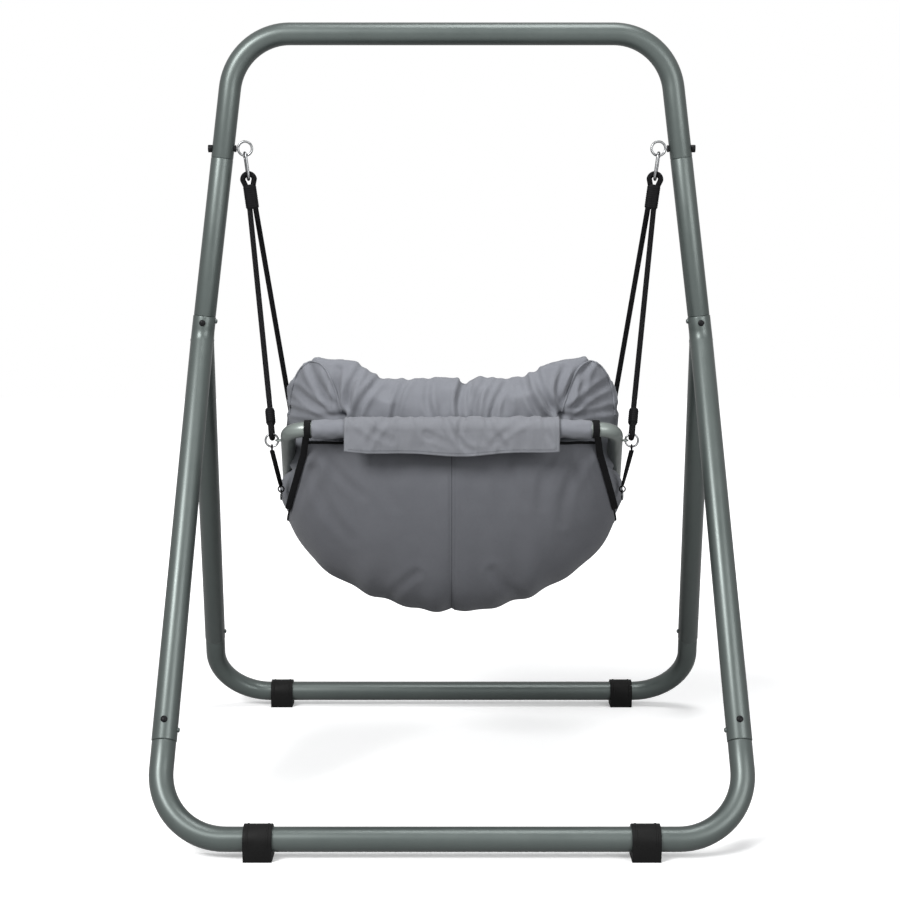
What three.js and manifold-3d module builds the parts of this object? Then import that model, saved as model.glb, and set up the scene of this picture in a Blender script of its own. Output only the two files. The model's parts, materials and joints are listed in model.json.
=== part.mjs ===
// Hanging baby cradle: a padded bucket seat on ropes, hung from a four-legged stand of round steel tube.
// Millimetres, +Z up. The origin lies on the floor under the middle of the stand. The seat faces +Y.
import * as THREE from 'three';
import { mergeVertices } from 'three/addons/utils/BufferGeometryUtils.js';
import Module from 'manifold-3d';

const wasm = await Module();
wasm.setup();

// General clearances and cutting overruns
const fitGap = 0.3;
const softGap = 0.5;
const overrun = 4;
const meshTolerance = 0.03;

// Stand tubes
const tubeDiameter = 38;
const tubeWall = 1.2;
const legDiameter = 39.6;
const bendRadius = 105;
const forkBendRadius = 55;
const swageLength = 50;
const forkSwageLength = 18;
const tubeSides = 14;
const frameSides = 12;
const holeSides = 8;
const bendSteps = 4;
const forkBendSteps = 3;

// Stand heights, half widths and half depth, all on tube centre lines
const topBarHeight = 1297;
const topJointDrop = 211;
const topJointHeight = topBarHeight - topJointDrop;
const forkJointHeight = 815;
const forkVertexHeight = 778;
const legJointHeight = 160;
const padDepth = 11;
const baseBarHeight = padDepth + tubeDiameter / 2;
const baseHalfDepth = 442;
const topHalfWidth = 370;
const forkHalfWidth = 436;
const rearBaseHalfWidth = 453;
const frontBaseHalfWidth = 485;

// Rubber foot pads
const padWidth = 44;
const padWall = 4.6;
const padFootHalf = 20;
const rearPadInset = 158;
const frontPadInset = 135;
const rearPadPlace = rearBaseHalfWidth - rearPadInset;
const frontPadPlace = frontBaseHalfWidth - frontPadInset;

// Joint screws and snap buttons
const screwHeadDiameter = 11.5;
const screwHeadHeight = 3;
const screwShankDiameter = 5;
const screwShankLength = 12;
const screwBelowJoint = 12;
const legScrewAboveJoint = 26.5;
const buttonDiameter = 8;
const buttonStand = 3.4;
const buttonFlangeDiameter = 12;
const buttonFlangeHeight = 1.6;
const buttonStemDiameter = 4;
const buttonStemLength = 9;
const buttonBelowJoint = 7;
const legButtonAboveJoint = 16;
const holeClearance = 0.35;

// Eye bolts and their nuts
const eyeAboveJoint = 17;
const eyeHeight = topJointHeight + eyeAboveJoint;
const eyeInset = 37.5;
const eyeRadius = 12;
const eyeWire = 4.2;
const boltDiameter = 6;
const collarNutAcross = 12;
const collarNutHeight = 3;
const capNutDiameter = 13;
const capNutHeight = 6.5;
const boltTail = 3;
const nutSeatShare = 0.45;

// Carabiners
const carabinerLength = 51;
const carabinerWidth = 21;
const carabinerWire = 5;
const carabinerTurn = 0.25;
const gateWire = 4.2;
const gateShare = 0.62;

// Ropes, their sleeves and the steel rings
const ropeDiameter = 9.6;
const sleeveWall = 1.2;
const topSleeveStart = 17;
const ropeLift = 2.6;
const topSleeveLength = 34;
const endSleeveStart = 17;
const endSleeveLength = 27;
const ringRadius = 10.7;
const ringWire = 3.6;
const lugRadius = 5.4;
const lugWire = 3.2;

// Seat frame
const frameDiameter = 25;
const frameWall = 1.2;
const rearBarY = -190;
const rearBarZ = 634;
const frameTilt = THREE.MathUtils.degToRad(25.5);
const frameLength = 480;
const rearHalfWidth = 269;
const frontHalfWidth = 308;
const rearCornerRadius = 36;
const frontCornerRadius = 110;
const frameJointShare = 0.5;
const frameSwageLength = 35;
const frontRingShare = 0.42;
const rearRingPlace = 62;

// Sling, cushions and straps
const slingThickness = 4;
const slingTopDrop = 22;
const slingTopForward = 18;
const slingDepth = 319;
const slingRimInset = 30;
const slingEndInset = 76;
const blockDepth = 60;
const clearSpread = 1.02;
const barSleeveHalf = 226;
const barSleeveWall = 3.6;
const flapHalf = 176;
const flapThickness = 2.4;
const flapDrop = 34;
const strapWidth = 11;
const strapThickness = 2.2;
const strapLoopPlace = 236.5;
const strapStand = 2.2;
const sideStrapWidth = 8;
const sideRingRadius = 8;
const sideRingWire = 2.8;
const sideRingOut = 12;
const sideRingRise = 34;
const strapLoopRadius = 5;
const strapLoopWire = 2.4;
const backThickness = 92;
const backHalfWidth = 280;
const earHeight = 752;
const plateauHeight = 724;
const backFootHeight = 462;
const sideBolsterRadius = 52;
const sideBolsterHeight = 50;
const sideBolsterStart = 96;
const sideBolsterEndInset = 60;
const sideBolsterInset = 34;
const sideBolsterTaper = 26;
const sideBolsterDrop = 24;
const seatPadThickness = 46;
const seatPadEdgeRise = 4;

const steel = { color: 0x717876, roughness: 0.42, metalness: 0.35 };
const seatSteel = { color: 0x9aa29e, roughness: 0.45, metalness: 0.3 };
const silver = { color: 0xc4c6c8, roughness: 0.25, metalness: 0.95 };
const blackSteel = { color: 0x151617, roughness: 0.4, metalness: 0.5 };
const rubber = { color: 0x131313, roughness: 0.75, metalness: 0 };
const ropeBlack = { color: 0x111112, roughness: 0.9, metalness: 0 };
const webbing = { color: 0x151516, roughness: 0.85, metalness: 0 };
const canvas = { color: 0x67696e, roughness: 0.95, metalness: 0 };
const cushionCloth = { color: 0x7f8187, roughness: 0.95, metalness: 0 };
const flapCloth = { color: 0x85878c, roughness: 0.95, metalness: 0 };

const cradle = new THREE.Group();

/** Adds a named mesh with its own material. */
function add(name, geometry, finish) {
  const mesh = new THREE.Mesh(geometry, new THREE.MeshStandardMaterial(finish));
  mesh.name = name;
  cradle.add(mesh);
  return mesh;
}

/** A manifold solid from a closed three.js geometry. */
function solid(geometry) {
  const bare = geometry.index ? geometry.toNonIndexed() : geometry.clone();
  for (const key of Object.keys(bare.attributes)) {
    if (key !== 'position') bare.deleteAttribute(key);
  }
  const merged = mergeVertices(bare, 1e-4);
  const vertProperties = new Float32Array(merged.attributes.position.array);
  const triVerts = new Uint32Array(merged.index.array);
  return new wasm.Manifold(new wasm.Mesh({ numProp: 3, vertProperties, triVerts }));
}

/** A three.js geometry from a manifold solid. */
function geometryOf(body) {
  const mesh = body.simplify(meshTolerance).getMesh();
  const places = new Float32Array(mesh.numVert * 3);
  for (let i = 0; i < mesh.numVert; i += 1) {
    for (let k = 0; k < 3; k += 1) places[i * 3 + k] = mesh.vertProperties[i * mesh.numProp + k];
  }
  const geometry = new THREE.BufferGeometry();
  geometry.setAttribute('position', new THREE.BufferAttribute(places, 3));
  geometry.setIndex(new THREE.BufferAttribute(new Uint32Array(mesh.triVerts), 1));
  return geometry;
}

const joined = (...parts) => parts.reduce((a, b) => a.add(b));
const cut = (body, ...tools) => tools.reduce((a, b) => a.subtract(b), body);
const v3 = (x, y, z) => new THREE.Vector3(x, y, z);
const between = (a, b, share) => a.clone().lerp(b, share);

/** A run through corner points with round bends, sampled only where it turns. */
class BentRoute extends THREE.Curve {
  constructor(corners, radii, steps = bendSteps) {
    super();
    this.stations = [corners[0].clone()];
    this.arcs = [];
    for (let i = 1; i < corners.length - 1; i += 1) {
      const before = corners[i - 1].clone().sub(corners[i]).normalize();
      const after = corners[i + 1].clone().sub(corners[i]).normalize();
      const half = before.angleTo(after) / 2;
      const radius = Array.isArray(radii) ? radii[i - 1] : radii;
      const reach = radius / Math.tan(half);
      const centre = before.clone().add(after).normalize().multiplyScalar(radius / Math.sin(half));
      centre.add(corners[i]);
      const from = corners[i].clone().addScaledVector(before, reach).sub(centre);
      const to = corners[i].clone().addScaledVector(after, reach).sub(centre);
      const sweep = from.angleTo(to);
      const normal = from.clone().cross(to).normalize();
      this.arcs.push({ centre, from, normal, sweep });
      for (let k = 0; k <= steps; k += 1) {
        this.stations.push(from.clone().applyAxisAngle(normal, (sweep * k) / steps).add(centre));
      }
    }
    this.stations.push(corners[corners.length - 1].clone());
    this.count = this.stations.length - 1;
  }

  onArc(index, share) {
    const arc = this.arcs[index];
    return arc.from.clone().applyAxisAngle(arc.normal, arc.sweep * share).add(arc.centre);
  }

  getPoint(t, target = new THREE.Vector3()) {
    const place = THREE.MathUtils.clamp(t, 0, 1) * this.count;
    const index = Math.min(Math.floor(place), this.count - 1);
    return target.copy(this.stations[index]).lerp(this.stations[index + 1], place - index);
  }

  getPointAt(u, target) {
    return this.getPoint(u, target);
  }

  getTangent(t, target = new THREE.Vector3()) {
    const index = Math.round(THREE.MathUtils.clamp(t, 0, 1) * this.count);
    const back = this.stations[Math.max(index - 1, 0)];
    const ahead = this.stations[Math.min(index + 1, this.count)];
    const here = this.stations[index];
    const inward = here.clone().sub(back).normalize();
    const onward = ahead.clone().sub(here).normalize();
    return target.copy(inward.add(onward).normalize());
  }

  getTangentAt(u, target) {
    return this.getTangent(u, target);
  }
}

/** A regular polygon with its corners at a radius. */
function disc(radius, sides) {
  const outline = new THREE.Shape();
  for (let i = 0; i < sides; i += 1) {
    const angle = ((i + 0.5) * 2 * Math.PI) / sides;
    const x = radius * Math.cos(angle);
    const y = radius * Math.sin(angle);
    if (i === 0) outline.moveTo(x, y);
    else outline.lineTo(x, y);
  }
  outline.closePath();
  return outline;
}

/** A round bar along a route. */
function bar(route, radius, sides = tubeSides) {
  return solid(new THREE.ExtrudeGeometry(disc(radius, sides), {
    steps: route.count,
    extrudePath: route,
    curveSegments: 1,
  }));
}

/** The corner radius of a polygon whose flats stand at a radius, for bores and clearances. */
function round(radius, sides = tubeSides) {
  return radius / Math.cos(Math.PI / sides);
}

/** A straight round bar from one point to another. */
function rod(from, to, radius, sides = 10) {
  const length = from.distanceTo(to);
  const geometry = new THREE.CylinderGeometry(radius, radius, length, sides);
  geometry.applyQuaternion(
    new THREE.Quaternion().setFromUnitVectors(v3(0, 1, 0), to.clone().sub(from).normalize()),
  );
  const middle = between(from, to, 0.5);
  geometry.translate(middle.x, middle.y, middle.z);
  return solid(geometry);
}

/** A ring of round wire round an axis. */
function wireRing(centre, axis, radius, wire, steps = 14, sides = 6) {
  const geometry = new THREE.TorusGeometry(radius, wire / 2, sides, steps);
  geometry.applyQuaternion(new THREE.Quaternion().setFromUnitVectors(v3(0, 0, 1), axis.clone().normalize()));
  geometry.translate(centre.x, centre.y, centre.z);
  return solid(geometry);
}

/** A closed solid between two grids of points, such as a cushion or a sheet. */
function gridSolid(front, back) {
  const rows = front.length;
  const columns = front[0].length;
  const places = [];
  const push = (p) => places.push(p.x, p.y, p.z);
  const quad = (a, b, c, d) => [a, b, c, a, c, d].forEach(push);
  for (let i = 0; i < rows - 1; i += 1) {
    for (let j = 0; j < columns - 1; j += 1) {
      quad(front[i][j], front[i][j + 1], front[i + 1][j + 1], front[i + 1][j]);
      quad(back[i][j], back[i + 1][j], back[i + 1][j + 1], back[i][j + 1]);
    }
  }
  for (let j = 0; j < columns - 1; j += 1) {
    quad(front[0][j], back[0][j], back[0][j + 1], front[0][j + 1]);
    quad(front[rows - 1][j], front[rows - 1][j + 1], back[rows - 1][j + 1], back[rows - 1][j]);
  }
  for (let i = 0; i < rows - 1; i += 1) {
    quad(front[i][0], front[i + 1][0], back[i + 1][0], back[i][0]);
    quad(front[i][columns - 1], back[i][columns - 1], back[i + 1][columns - 1], front[i + 1][columns - 1]);
  }
  const geometry = new THREE.BufferGeometry();
  geometry.setAttribute('position', new THREE.BufferAttribute(new Float32Array(places), 3));
  const body = solid(geometry);
  return body.volume() > 0 ? body : solid(flipped(geometry));
}

/** The same triangles turned over. */
function flipped(geometry) {
  const places = geometry.attributes.position.array.slice();
  for (let i = 0; i < places.length; i += 9) {
    for (let k = 0; k < 3; k += 1) {
      [places[i + 3 + k], places[i + 6 + k]] = [places[i + 6 + k], places[i + 3 + k]];
    }
  }
  const turned = new THREE.BufferGeometry();
  turned.setAttribute('position', new THREE.BufferAttribute(places, 3));
  return turned;
}

/** Left and right copies of a function that builds for one side, where side is -1 or 1. */
function bothSides(build) {
  build(-1, 'left');
  build(1, 'right');
}

const boreRadius = tubeDiameter / 2 - tubeWall;
const legBoreRadius = legDiameter / 2 - tubeWall;
const poleSwageRadius = boreRadius - fitGap;
const legSwageRadius = legBoreRadius - fitGap;
const towards = (from, to) => to.clone().sub(from).normalize();

// Centre line of each pole, from the fork up to the top corner
const topCorner = (side) => v3(side * topHalfWidth, 0, topBarHeight);
const forkVertex = (side) => v3(side * forkHalfWidth, 0, forkVertexHeight);
const onPole = (side, height) => {
  const share = (height - forkVertexHeight) / (topBarHeight - forkVertexHeight);
  return between(forkVertex(side), topCorner(side), share);
};

// Centre line of each leg, from the fork down to the base corner
const baseCorner = (side, facing) => {
  const halfWidth = facing < 0 ? rearBaseHalfWidth : frontBaseHalfWidth;
  return v3(side * halfWidth, facing * baseHalfDepth, baseBarHeight);
};
const onLeg = (side, facing, height) => {
  const share = (height - forkVertexHeight) / (baseBarHeight - forkVertexHeight);
  return between(forkVertex(side), baseCorner(side, facing), share);
};

/** A screw with a domed pan head seated on a tube: its solid and the hole that it needs. */
function tubeScrew(axisPoint, outward, tubeRadius) {
  const face = axisPoint.clone().addScaledVector(outward, tubeRadius + fitGap);
  const profile = [
    new THREE.Vector2(0, screwHeadHeight),
    new THREE.Vector2(screwHeadDiameter * 0.3, screwHeadHeight * 0.9),
    new THREE.Vector2(screwHeadDiameter * 0.46, screwHeadHeight * 0.5),
    new THREE.Vector2(screwHeadDiameter / 2, 0),
    new THREE.Vector2(screwShankDiameter / 2, 0),
    new THREE.Vector2(screwShankDiameter / 2, -screwShankLength),
    new THREE.Vector2(0, -screwShankLength),
  ].reverse();
  const geometry = new THREE.LatheGeometry(profile, 10);
  geometry.applyQuaternion(new THREE.Quaternion().setFromUnitVectors(v3(0, 1, 0), outward));
  geometry.translate(face.x, face.y, face.z);
  const inner = axisPoint.clone();
  const outer = axisPoint.clone().addScaledVector(outward, tubeRadius + overrun);
  const holeRadius = round(screwShankDiameter / 2 + holeClearance, holeSides);
  return { geometry, hole: rod(inner, outer, holeRadius, holeSides) };
}

/** A sprung locking button seen outside a tube: its solid and the hole that it slides in. */
function snapButton(axisPoint, outward, tubeRadius, innerBore) {
  const top = tubeRadius + buttonStand;
  const flangeTop = innerBore - fitGap;
  const profile = [
    new THREE.Vector2(0, flangeTop - buttonFlangeHeight - buttonStemLength),
    new THREE.Vector2(buttonStemDiameter / 2, flangeTop - buttonFlangeHeight - buttonStemLength),
    new THREE.Vector2(buttonStemDiameter / 2, flangeTop - buttonFlangeHeight - fitGap),
    new THREE.Vector2(buttonFlangeDiameter / 2, flangeTop - buttonFlangeHeight - fitGap * 5),
    new THREE.Vector2(buttonFlangeDiameter / 2, flangeTop - fitGap * 4),
    new THREE.Vector2(buttonDiameter / 2, flangeTop - fitGap * 4),
    new THREE.Vector2(buttonDiameter / 2, top - buttonDiameter * 0.2),
    new THREE.Vector2(buttonDiameter * 0.33, top - buttonDiameter * 0.06),
    new THREE.Vector2(0, top),
  ];
  const geometry = new THREE.LatheGeometry(profile, 10);
  geometry.applyQuaternion(new THREE.Quaternion().setFromUnitVectors(v3(0, 1, 0), outward));
  geometry.translate(axisPoint.x, axisPoint.y, axisPoint.z);
  const outer = axisPoint.clone().addScaledVector(outward, tubeRadius + overrun);
  const holeRadius = round(buttonDiameter / 2 + holeClearance, holeSides);
  return { geometry, hole: rod(axisPoint, outer, holeRadius, holeSides) };
}

/** The part of a vector that is square to an axis. */
function squareTo(vector, axis) {
  return vector.clone().addScaledVector(axis, -vector.dot(axis)).normalize();
}

// Stand: the top rail bends down on both sides and takes the swaged ends of the poles
const railEnds = [-1, 1].map((side) => onPole(side, topJointHeight + fitGap / 2));
const railRoute = new BentRoute([railEnds[0], topCorner(-1), topCorner(1), railEnds[1]], bendRadius);
const railBoreRoute = new BentRoute(
  [onPole(-1, topJointHeight - overrun), topCorner(-1), topCorner(1), onPole(1, topJointHeight - overrun)],
  bendRadius,
);
const railHoles = [];

bothSides((side, hand) => {
  const poleAxis = towards(forkVertex(side), topCorner(side));
  const inward = squareTo(v3(-side, 0, 0), poleAxis);
  const jointTop = onPole(side, topJointHeight);
  const jointLow = onPole(side, forkJointHeight);

  // Eye bolt, its collar nut inside and its cap nut outside
  const boltAt = onPole(side, eyeHeight);
  const shoulder = tubeDiameter / 2 + fitGap;
  const eyeCentre = boltAt.clone().addScaledVector(v3(-side, 0, 0), eyeInset);
  const boltEnd = boltAt.clone().addScaledVector(v3(side, 0, 0), tubeDiameter / 2 + boltTail);
  const ringEdge = eyeCentre.clone().addScaledVector(v3(side, 0, 0), eyeRadius);
  const bolt = joined(
    wireRing(eyeCentre, v3(0, 1, 0), eyeRadius, eyeWire),
    rod(ringEdge, boltEnd, boltDiameter / 2),
  );
  add(`eye_bolt_${hand}`, geometryOf(bolt), silver);
  const pastBolt = boltEnd.clone().addScaledVector(v3(side, 0, 0), fitGap);
  const clearBolt = rod(ringEdge, pastBolt, boltDiameter / 2 + fitGap);
  railHoles.push(clearBolt);
  const collarSeat = boltAt.clone().addScaledVector(v3(-side, 0, 0), shoulder + holeClearance);
  const collarEnd = collarSeat.clone().addScaledVector(v3(-side, 0, 0), collarNutHeight);
  const clearRadius = round(tubeDiameter / 2 + fitGap);
  const tubeClear = rod(topCorner(side), onPole(side, topJointHeight), clearRadius, tubeSides);
  const nutSeat = boltAt.clone().addScaledVector(v3(-side, 0, 0), tubeDiameter * nutSeatShare);
  const clearEye = wireRing(eyeCentre, v3(0, 1, 0), eyeRadius, eyeWire + 2 * fitGap);
  const collar = cut(rod(nutSeat, collarEnd, collarNutAcross / 2, 6), clearBolt, tubeClear, clearEye);
  add(`eye_bolt_nut_${hand}`, geometryOf(collar), blackSteel);
  const capEnd = boltAt.clone().addScaledVector(v3(side, 0, 0), shoulder + capNutHeight);
  const capSeat = boltAt.clone().addScaledVector(v3(side, 0, 0), tubeDiameter * nutSeatShare);
  const cap = cut(rod(capSeat, capEnd, capNutDiameter / 2, 14), clearBolt, tubeClear);
  add(`eye_bolt_cap_${hand}`, geometryOf(cap), blackSteel);

  // Fork screw and snap button
  const screwAt = onPole(side, forkJointHeight - screwBelowJoint);
  const forkScrew = tubeScrew(screwAt, v3(0, -1, 0), legDiameter / 2);
  add(`fork_screw_${hand}`, forkScrew.geometry, blackSteel);
  const buttonAt = onPole(side, forkJointHeight - buttonBelowJoint);
  const swageBore = legSwageRadius - tubeWall;
  const forkButton = snapButton(buttonAt, inward, legDiameter / 2, poleSwageRadius - tubeWall);
  add(`fork_button_${hand}`, forkButton.geometry, steel);

  // Upper pole: a straight tube with a swaged end at the top and another at the bottom
  const swageTop = jointTop.clone().addScaledVector(poleAxis, swageLength);
  const swageLow = jointLow.clone().addScaledVector(poleAxis, -forkSwageLength);
  const pole = cut(
    joined(
      rod(jointLow, jointTop, tubeDiameter / 2, tubeSides),
      rod(jointTop.clone().addScaledVector(poleAxis, -overrun), swageTop, poleSwageRadius, tubeSides),
      rod(swageLow, jointLow.clone().addScaledVector(poleAxis, overrun), legSwageRadius, tubeSides),
    ),
    rod(
      swageLow.clone().addScaledVector(poleAxis, -overrun),
      swageTop.clone().addScaledVector(poleAxis, overrun),
      round(poleSwageRadius - tubeWall),
      tubeSides,
    ),
    clearBolt,
    forkScrew.hole,
    forkButton.hole,
  );
  add(`upper_pole_${hand}`, geometryOf(pole), steel);

  // Leg fork: a socket on top, one leg bent to the rear and one welded on to the front
  const socketTop = onPole(side, forkJointHeight - fitGap);
  const legRoutes = [-1, 1].map((facing) => new BentRoute(
    [socketTop, forkVertex(side), onLeg(side, facing, legJointHeight + fitGap)],
    forkBendRadius,
    forkBendSteps,
  ));
  const legBores = [-1, 1].map((facing) => new BentRoute(
    [onPole(side, forkJointHeight + overrun), forkVertex(side), onLeg(side, facing, legJointHeight - overrun)],
    forkBendRadius,
    forkBendSteps,
  ));
  const holes = [forkScrew.hole, forkButton.hole];
  [-1, 1].forEach((facing) => {
    const place = facing < 0 ? 'rear' : 'front';
    const legAxis = towards(baseCorner(side, facing), forkVertex(side));
    const legInward = squareTo(v3(-side, 0, 0), legAxis);
    const legFace = squareTo(v3(0, facing, 0), legAxis);
    const legScrewAt = onLeg(side, facing, legJointHeight + legScrewAboveJoint);
    const legScrew = tubeScrew(legScrewAt, legFace, legDiameter / 2);
    add(`${place}_leg_screw_${hand}`, legScrew.geometry, blackSteel);
    const legButton = snapButton(
      onLeg(side, facing, legJointHeight + legButtonAboveJoint),
      legInward,
      legDiameter / 2,
      swageBore,
    );
    add(`${place}_leg_button_${hand}`, legButton.geometry, steel);
    holes.push(legScrew.hole, legButton.hole);
  });
  const fork = cut(
    joined(...legRoutes.map((route) => bar(route, legDiameter / 2))),
    ...legBores.map((route) => bar(route, round(legBoreRadius))),
    ...holes,
  );
  add(`leg_fork_${hand}`, geometryOf(fork), steel);
});

const rail = cut(bar(railRoute, tubeDiameter / 2), bar(railBoreRoute, round(boreRadius)), ...railHoles);
add('top_rail', geometryOf(rail), steel);

// Base tubes: a wide U in the plane of its two legs, with swaged ends in the leg tubes
[-1, 1].forEach((facing) => {
  const place = facing < 0 ? 'rear' : 'front';
  const corners = [-1, 1].map((side) => baseCorner(side, facing));
  const ends = [-1, 1].map((side) => onLeg(side, facing, legJointHeight));
  const route = new BentRoute([ends[0], corners[0], corners[1], ends[1]], bendRadius);
  const swages = [-1, 1].map((side, i) => {
    const legAxis = towards(baseCorner(side, facing), forkVertex(side));
    return { from: ends[i], to: ends[i].clone().addScaledVector(legAxis, swageLength), axis: legAxis };
  });
  const boreRoute = new BentRoute(
    [
      swages[0].to.clone().addScaledVector(swages[0].axis, overrun),
      corners[0],
      corners[1],
      swages[1].to.clone().addScaledVector(swages[1].axis, overrun),
    ],
    bendRadius,
  );
  const holes = [-1, 1].flatMap((side) => {
    const legAxis = towards(baseCorner(side, facing), forkVertex(side));
    const screwAt = onLeg(side, facing, legJointHeight + legScrewAboveJoint);
    const buttonAt = onLeg(side, facing, legJointHeight + legButtonAboveJoint);
    const face = squareTo(v3(0, facing, 0), legAxis);
    const inward = squareTo(v3(-side, 0, 0), legAxis);
    return [
      tubeScrew(screwAt, face, legDiameter / 2).hole,
      snapButton(buttonAt, inward, legDiameter / 2, legSwageRadius - tubeWall).hole,
    ];
  });
  const base = cut(
    joined(
      bar(route, tubeDiameter / 2),
      ...swages.map((swage) => rod(
        swage.from.clone().addScaledVector(swage.axis, -overrun),
        swage.to,
        legSwageRadius,
        tubeSides,
      )),
    ),
    bar(boreRoute, round(legSwageRadius - tubeWall)),
    ...holes,
  );
  add(`${place}_base_tube`, geometryOf(base), steel);

  // Rubber foot pads: a strap round the tube with a flat foot under it
  const padPlace = facing < 0 ? rearPadPlace : frontPadPlace;
  bothSides((side, hand) => {
    const outer = tubeDiameter / 2 + padWall;
    const outline = new THREE.Shape();
    outline.moveTo(-padFootHalf, -baseBarHeight);
    outline.lineTo(padFootHalf, -baseBarHeight);
    outline.lineTo(outer, -outer * 0.4);
    outline.absarc(0, 0, outer, 0, Math.PI, false);
    outline.lineTo(-outer, -outer * 0.4);
    outline.closePath();
    const bore = new THREE.Path();
    bore.absarc(0, 0, tubeDiameter / 2 + fitGap * 2, 0, 2 * Math.PI, true);
    outline.holes.push(bore);
    const pad = new THREE.ExtrudeGeometry(outline, { depth: padWidth, bevelEnabled: false, curveSegments: 10 });
    pad.translate(0, 0, -padWidth / 2);
    pad.rotateX(Math.PI / 2);
    pad.rotateZ(Math.PI / 2);
    const mesh = add(`foot_pad_${place}_${hand}`, pad, rubber);
    mesh.position.set(side * padPlace, facing * baseHalfDepth, baseBarHeight);
  });
});

// Seat frame: points in its tilted plane, x across and s down and forward from the rear bar
const frameAt = (x, s) => v3(x, rearBarY + s * Math.cos(frameTilt), rearBarZ - s * Math.sin(frameTilt));
const frameUp = v3(0, Math.sin(frameTilt), Math.cos(frameTilt));
const railHalf = (s) => rearHalfWidth + ((frontHalfWidth - rearHalfWidth) * s) / frameLength;
const jointS = frameLength * frameJointShare;
const frameBore = frameDiameter / 2 - frameWall;
const frameSwage = frameBore - fitGap;

const rearFrameRoute = new BentRoute(
  [
    frameAt(-railHalf(jointS), jointS),
    frameAt(-rearHalfWidth, 0),
    frameAt(rearHalfWidth, 0),
    frameAt(railHalf(jointS), jointS),
  ],
  rearCornerRadius,
);
const frontFrameRoute = new BentRoute(
  [
    frameAt(-railHalf(jointS + fitGap), jointS + fitGap),
    frameAt(-frontHalfWidth, frameLength),
    frameAt(frontHalfWidth, frameLength),
    frameAt(railHalf(jointS + fitGap), jointS + fitGap),
  ],
  frontCornerRadius,
);

// Steel rings: two at the rear corners stand beside the tube, two at the front corners stand on it
const lugReach = frameDiameter / 2 + 2.6;
const corners = {};
bothSides((side, hand) => {
  const rearTube = frameAt(side * railHalf(rearRingPlace), rearRingPlace);
  const rearLug = rearTube.clone().addScaledVector(v3(side, 0, 0), lugReach);
  const linkGap = lugRadius - lugWire / 2 - ringWire / 2 - fitGap;
  const rearWireAt = rearLug.clone().addScaledVector(v3(side, 0, 0), linkGap);
  const rearCentre = rearWireAt.clone().addScaledVector(v3(side, 0, 0), ringRadius);
  const frontTube = frontFrameRoute.onArc(side < 0 ? 0 : 1, side < 0 ? frontRingShare : 1 - frontRingShare);
  const frontLug = frontTube.clone().addScaledVector(frameUp, lugReach);
  const frontWireAt = frontLug.clone().addScaledVector(frameUp, linkGap);
  const frontCentre = frontWireAt.clone().addScaledVector(v3(0, 0, 1), ringRadius);
  corners[hand] = { rearLug, rearCentre, frontLug, frontCentre };
  add(`corner_ring_rear_${hand}`, geometryOf(wireRing(rearCentre, v3(0, 1, 0), ringRadius, ringWire)), silver);
  add(`corner_ring_front_${hand}`, geometryOf(wireRing(frontCentre, v3(0, 1, 0), ringRadius, ringWire)), silver);
});

const rearLugs = ['left', 'right'].map((hand) => (
  wireRing(corners[hand].rearLug, v3(0, 0, 1), lugRadius, lugWire, 14)
));
const frontLugs = ['left', 'right'].map((hand) => (
  wireRing(corners[hand].frontLug, v3(1, 0, 0), lugRadius, lugWire, 14)
));
const rearBoreEnds = [-1, 1].map((side) => frameAt(side * railHalf(jointS + overrun), jointS + overrun));
const rearFrame = cut(
  joined(bar(rearFrameRoute, frameDiameter / 2, frameSides), ...rearLugs),
  bar(new BentRoute(
    [rearBoreEnds[0], frameAt(-rearHalfWidth, 0), frameAt(rearHalfWidth, 0), rearBoreEnds[1]],
    rearCornerRadius,
  ), round(frameBore, frameSides), frameSides),
);
add('seat_frame_rear', geometryOf(rearFrame), seatSteel);

const swageS = jointS - frameSwageLength;
const frontSwages = [-1, 1].map((side) => rod(
  frameAt(side * railHalf(swageS), swageS),
  frameAt(side * railHalf(jointS + overrun), jointS + overrun),
  frameSwage,
  frameSides,
));
const frontBoreEnds = [-1, 1].map((side) => frameAt(side * railHalf(swageS - overrun), swageS - overrun));
const frontFrame = cut(
  joined(bar(frontFrameRoute, frameDiameter / 2, frameSides), ...frontLugs, ...frontSwages),
  bar(new BentRoute(
    [
      frontBoreEnds[0],
      frameAt(-frontHalfWidth, frameLength),
      frameAt(frontHalfWidth, frameLength),
      frontBoreEnds[1],
    ],
    frontCornerRadius,
  ), frameSwage - frameWall, frameSides),
);
add('seat_frame_front', geometryOf(frontFrame), seatSteel);

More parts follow.
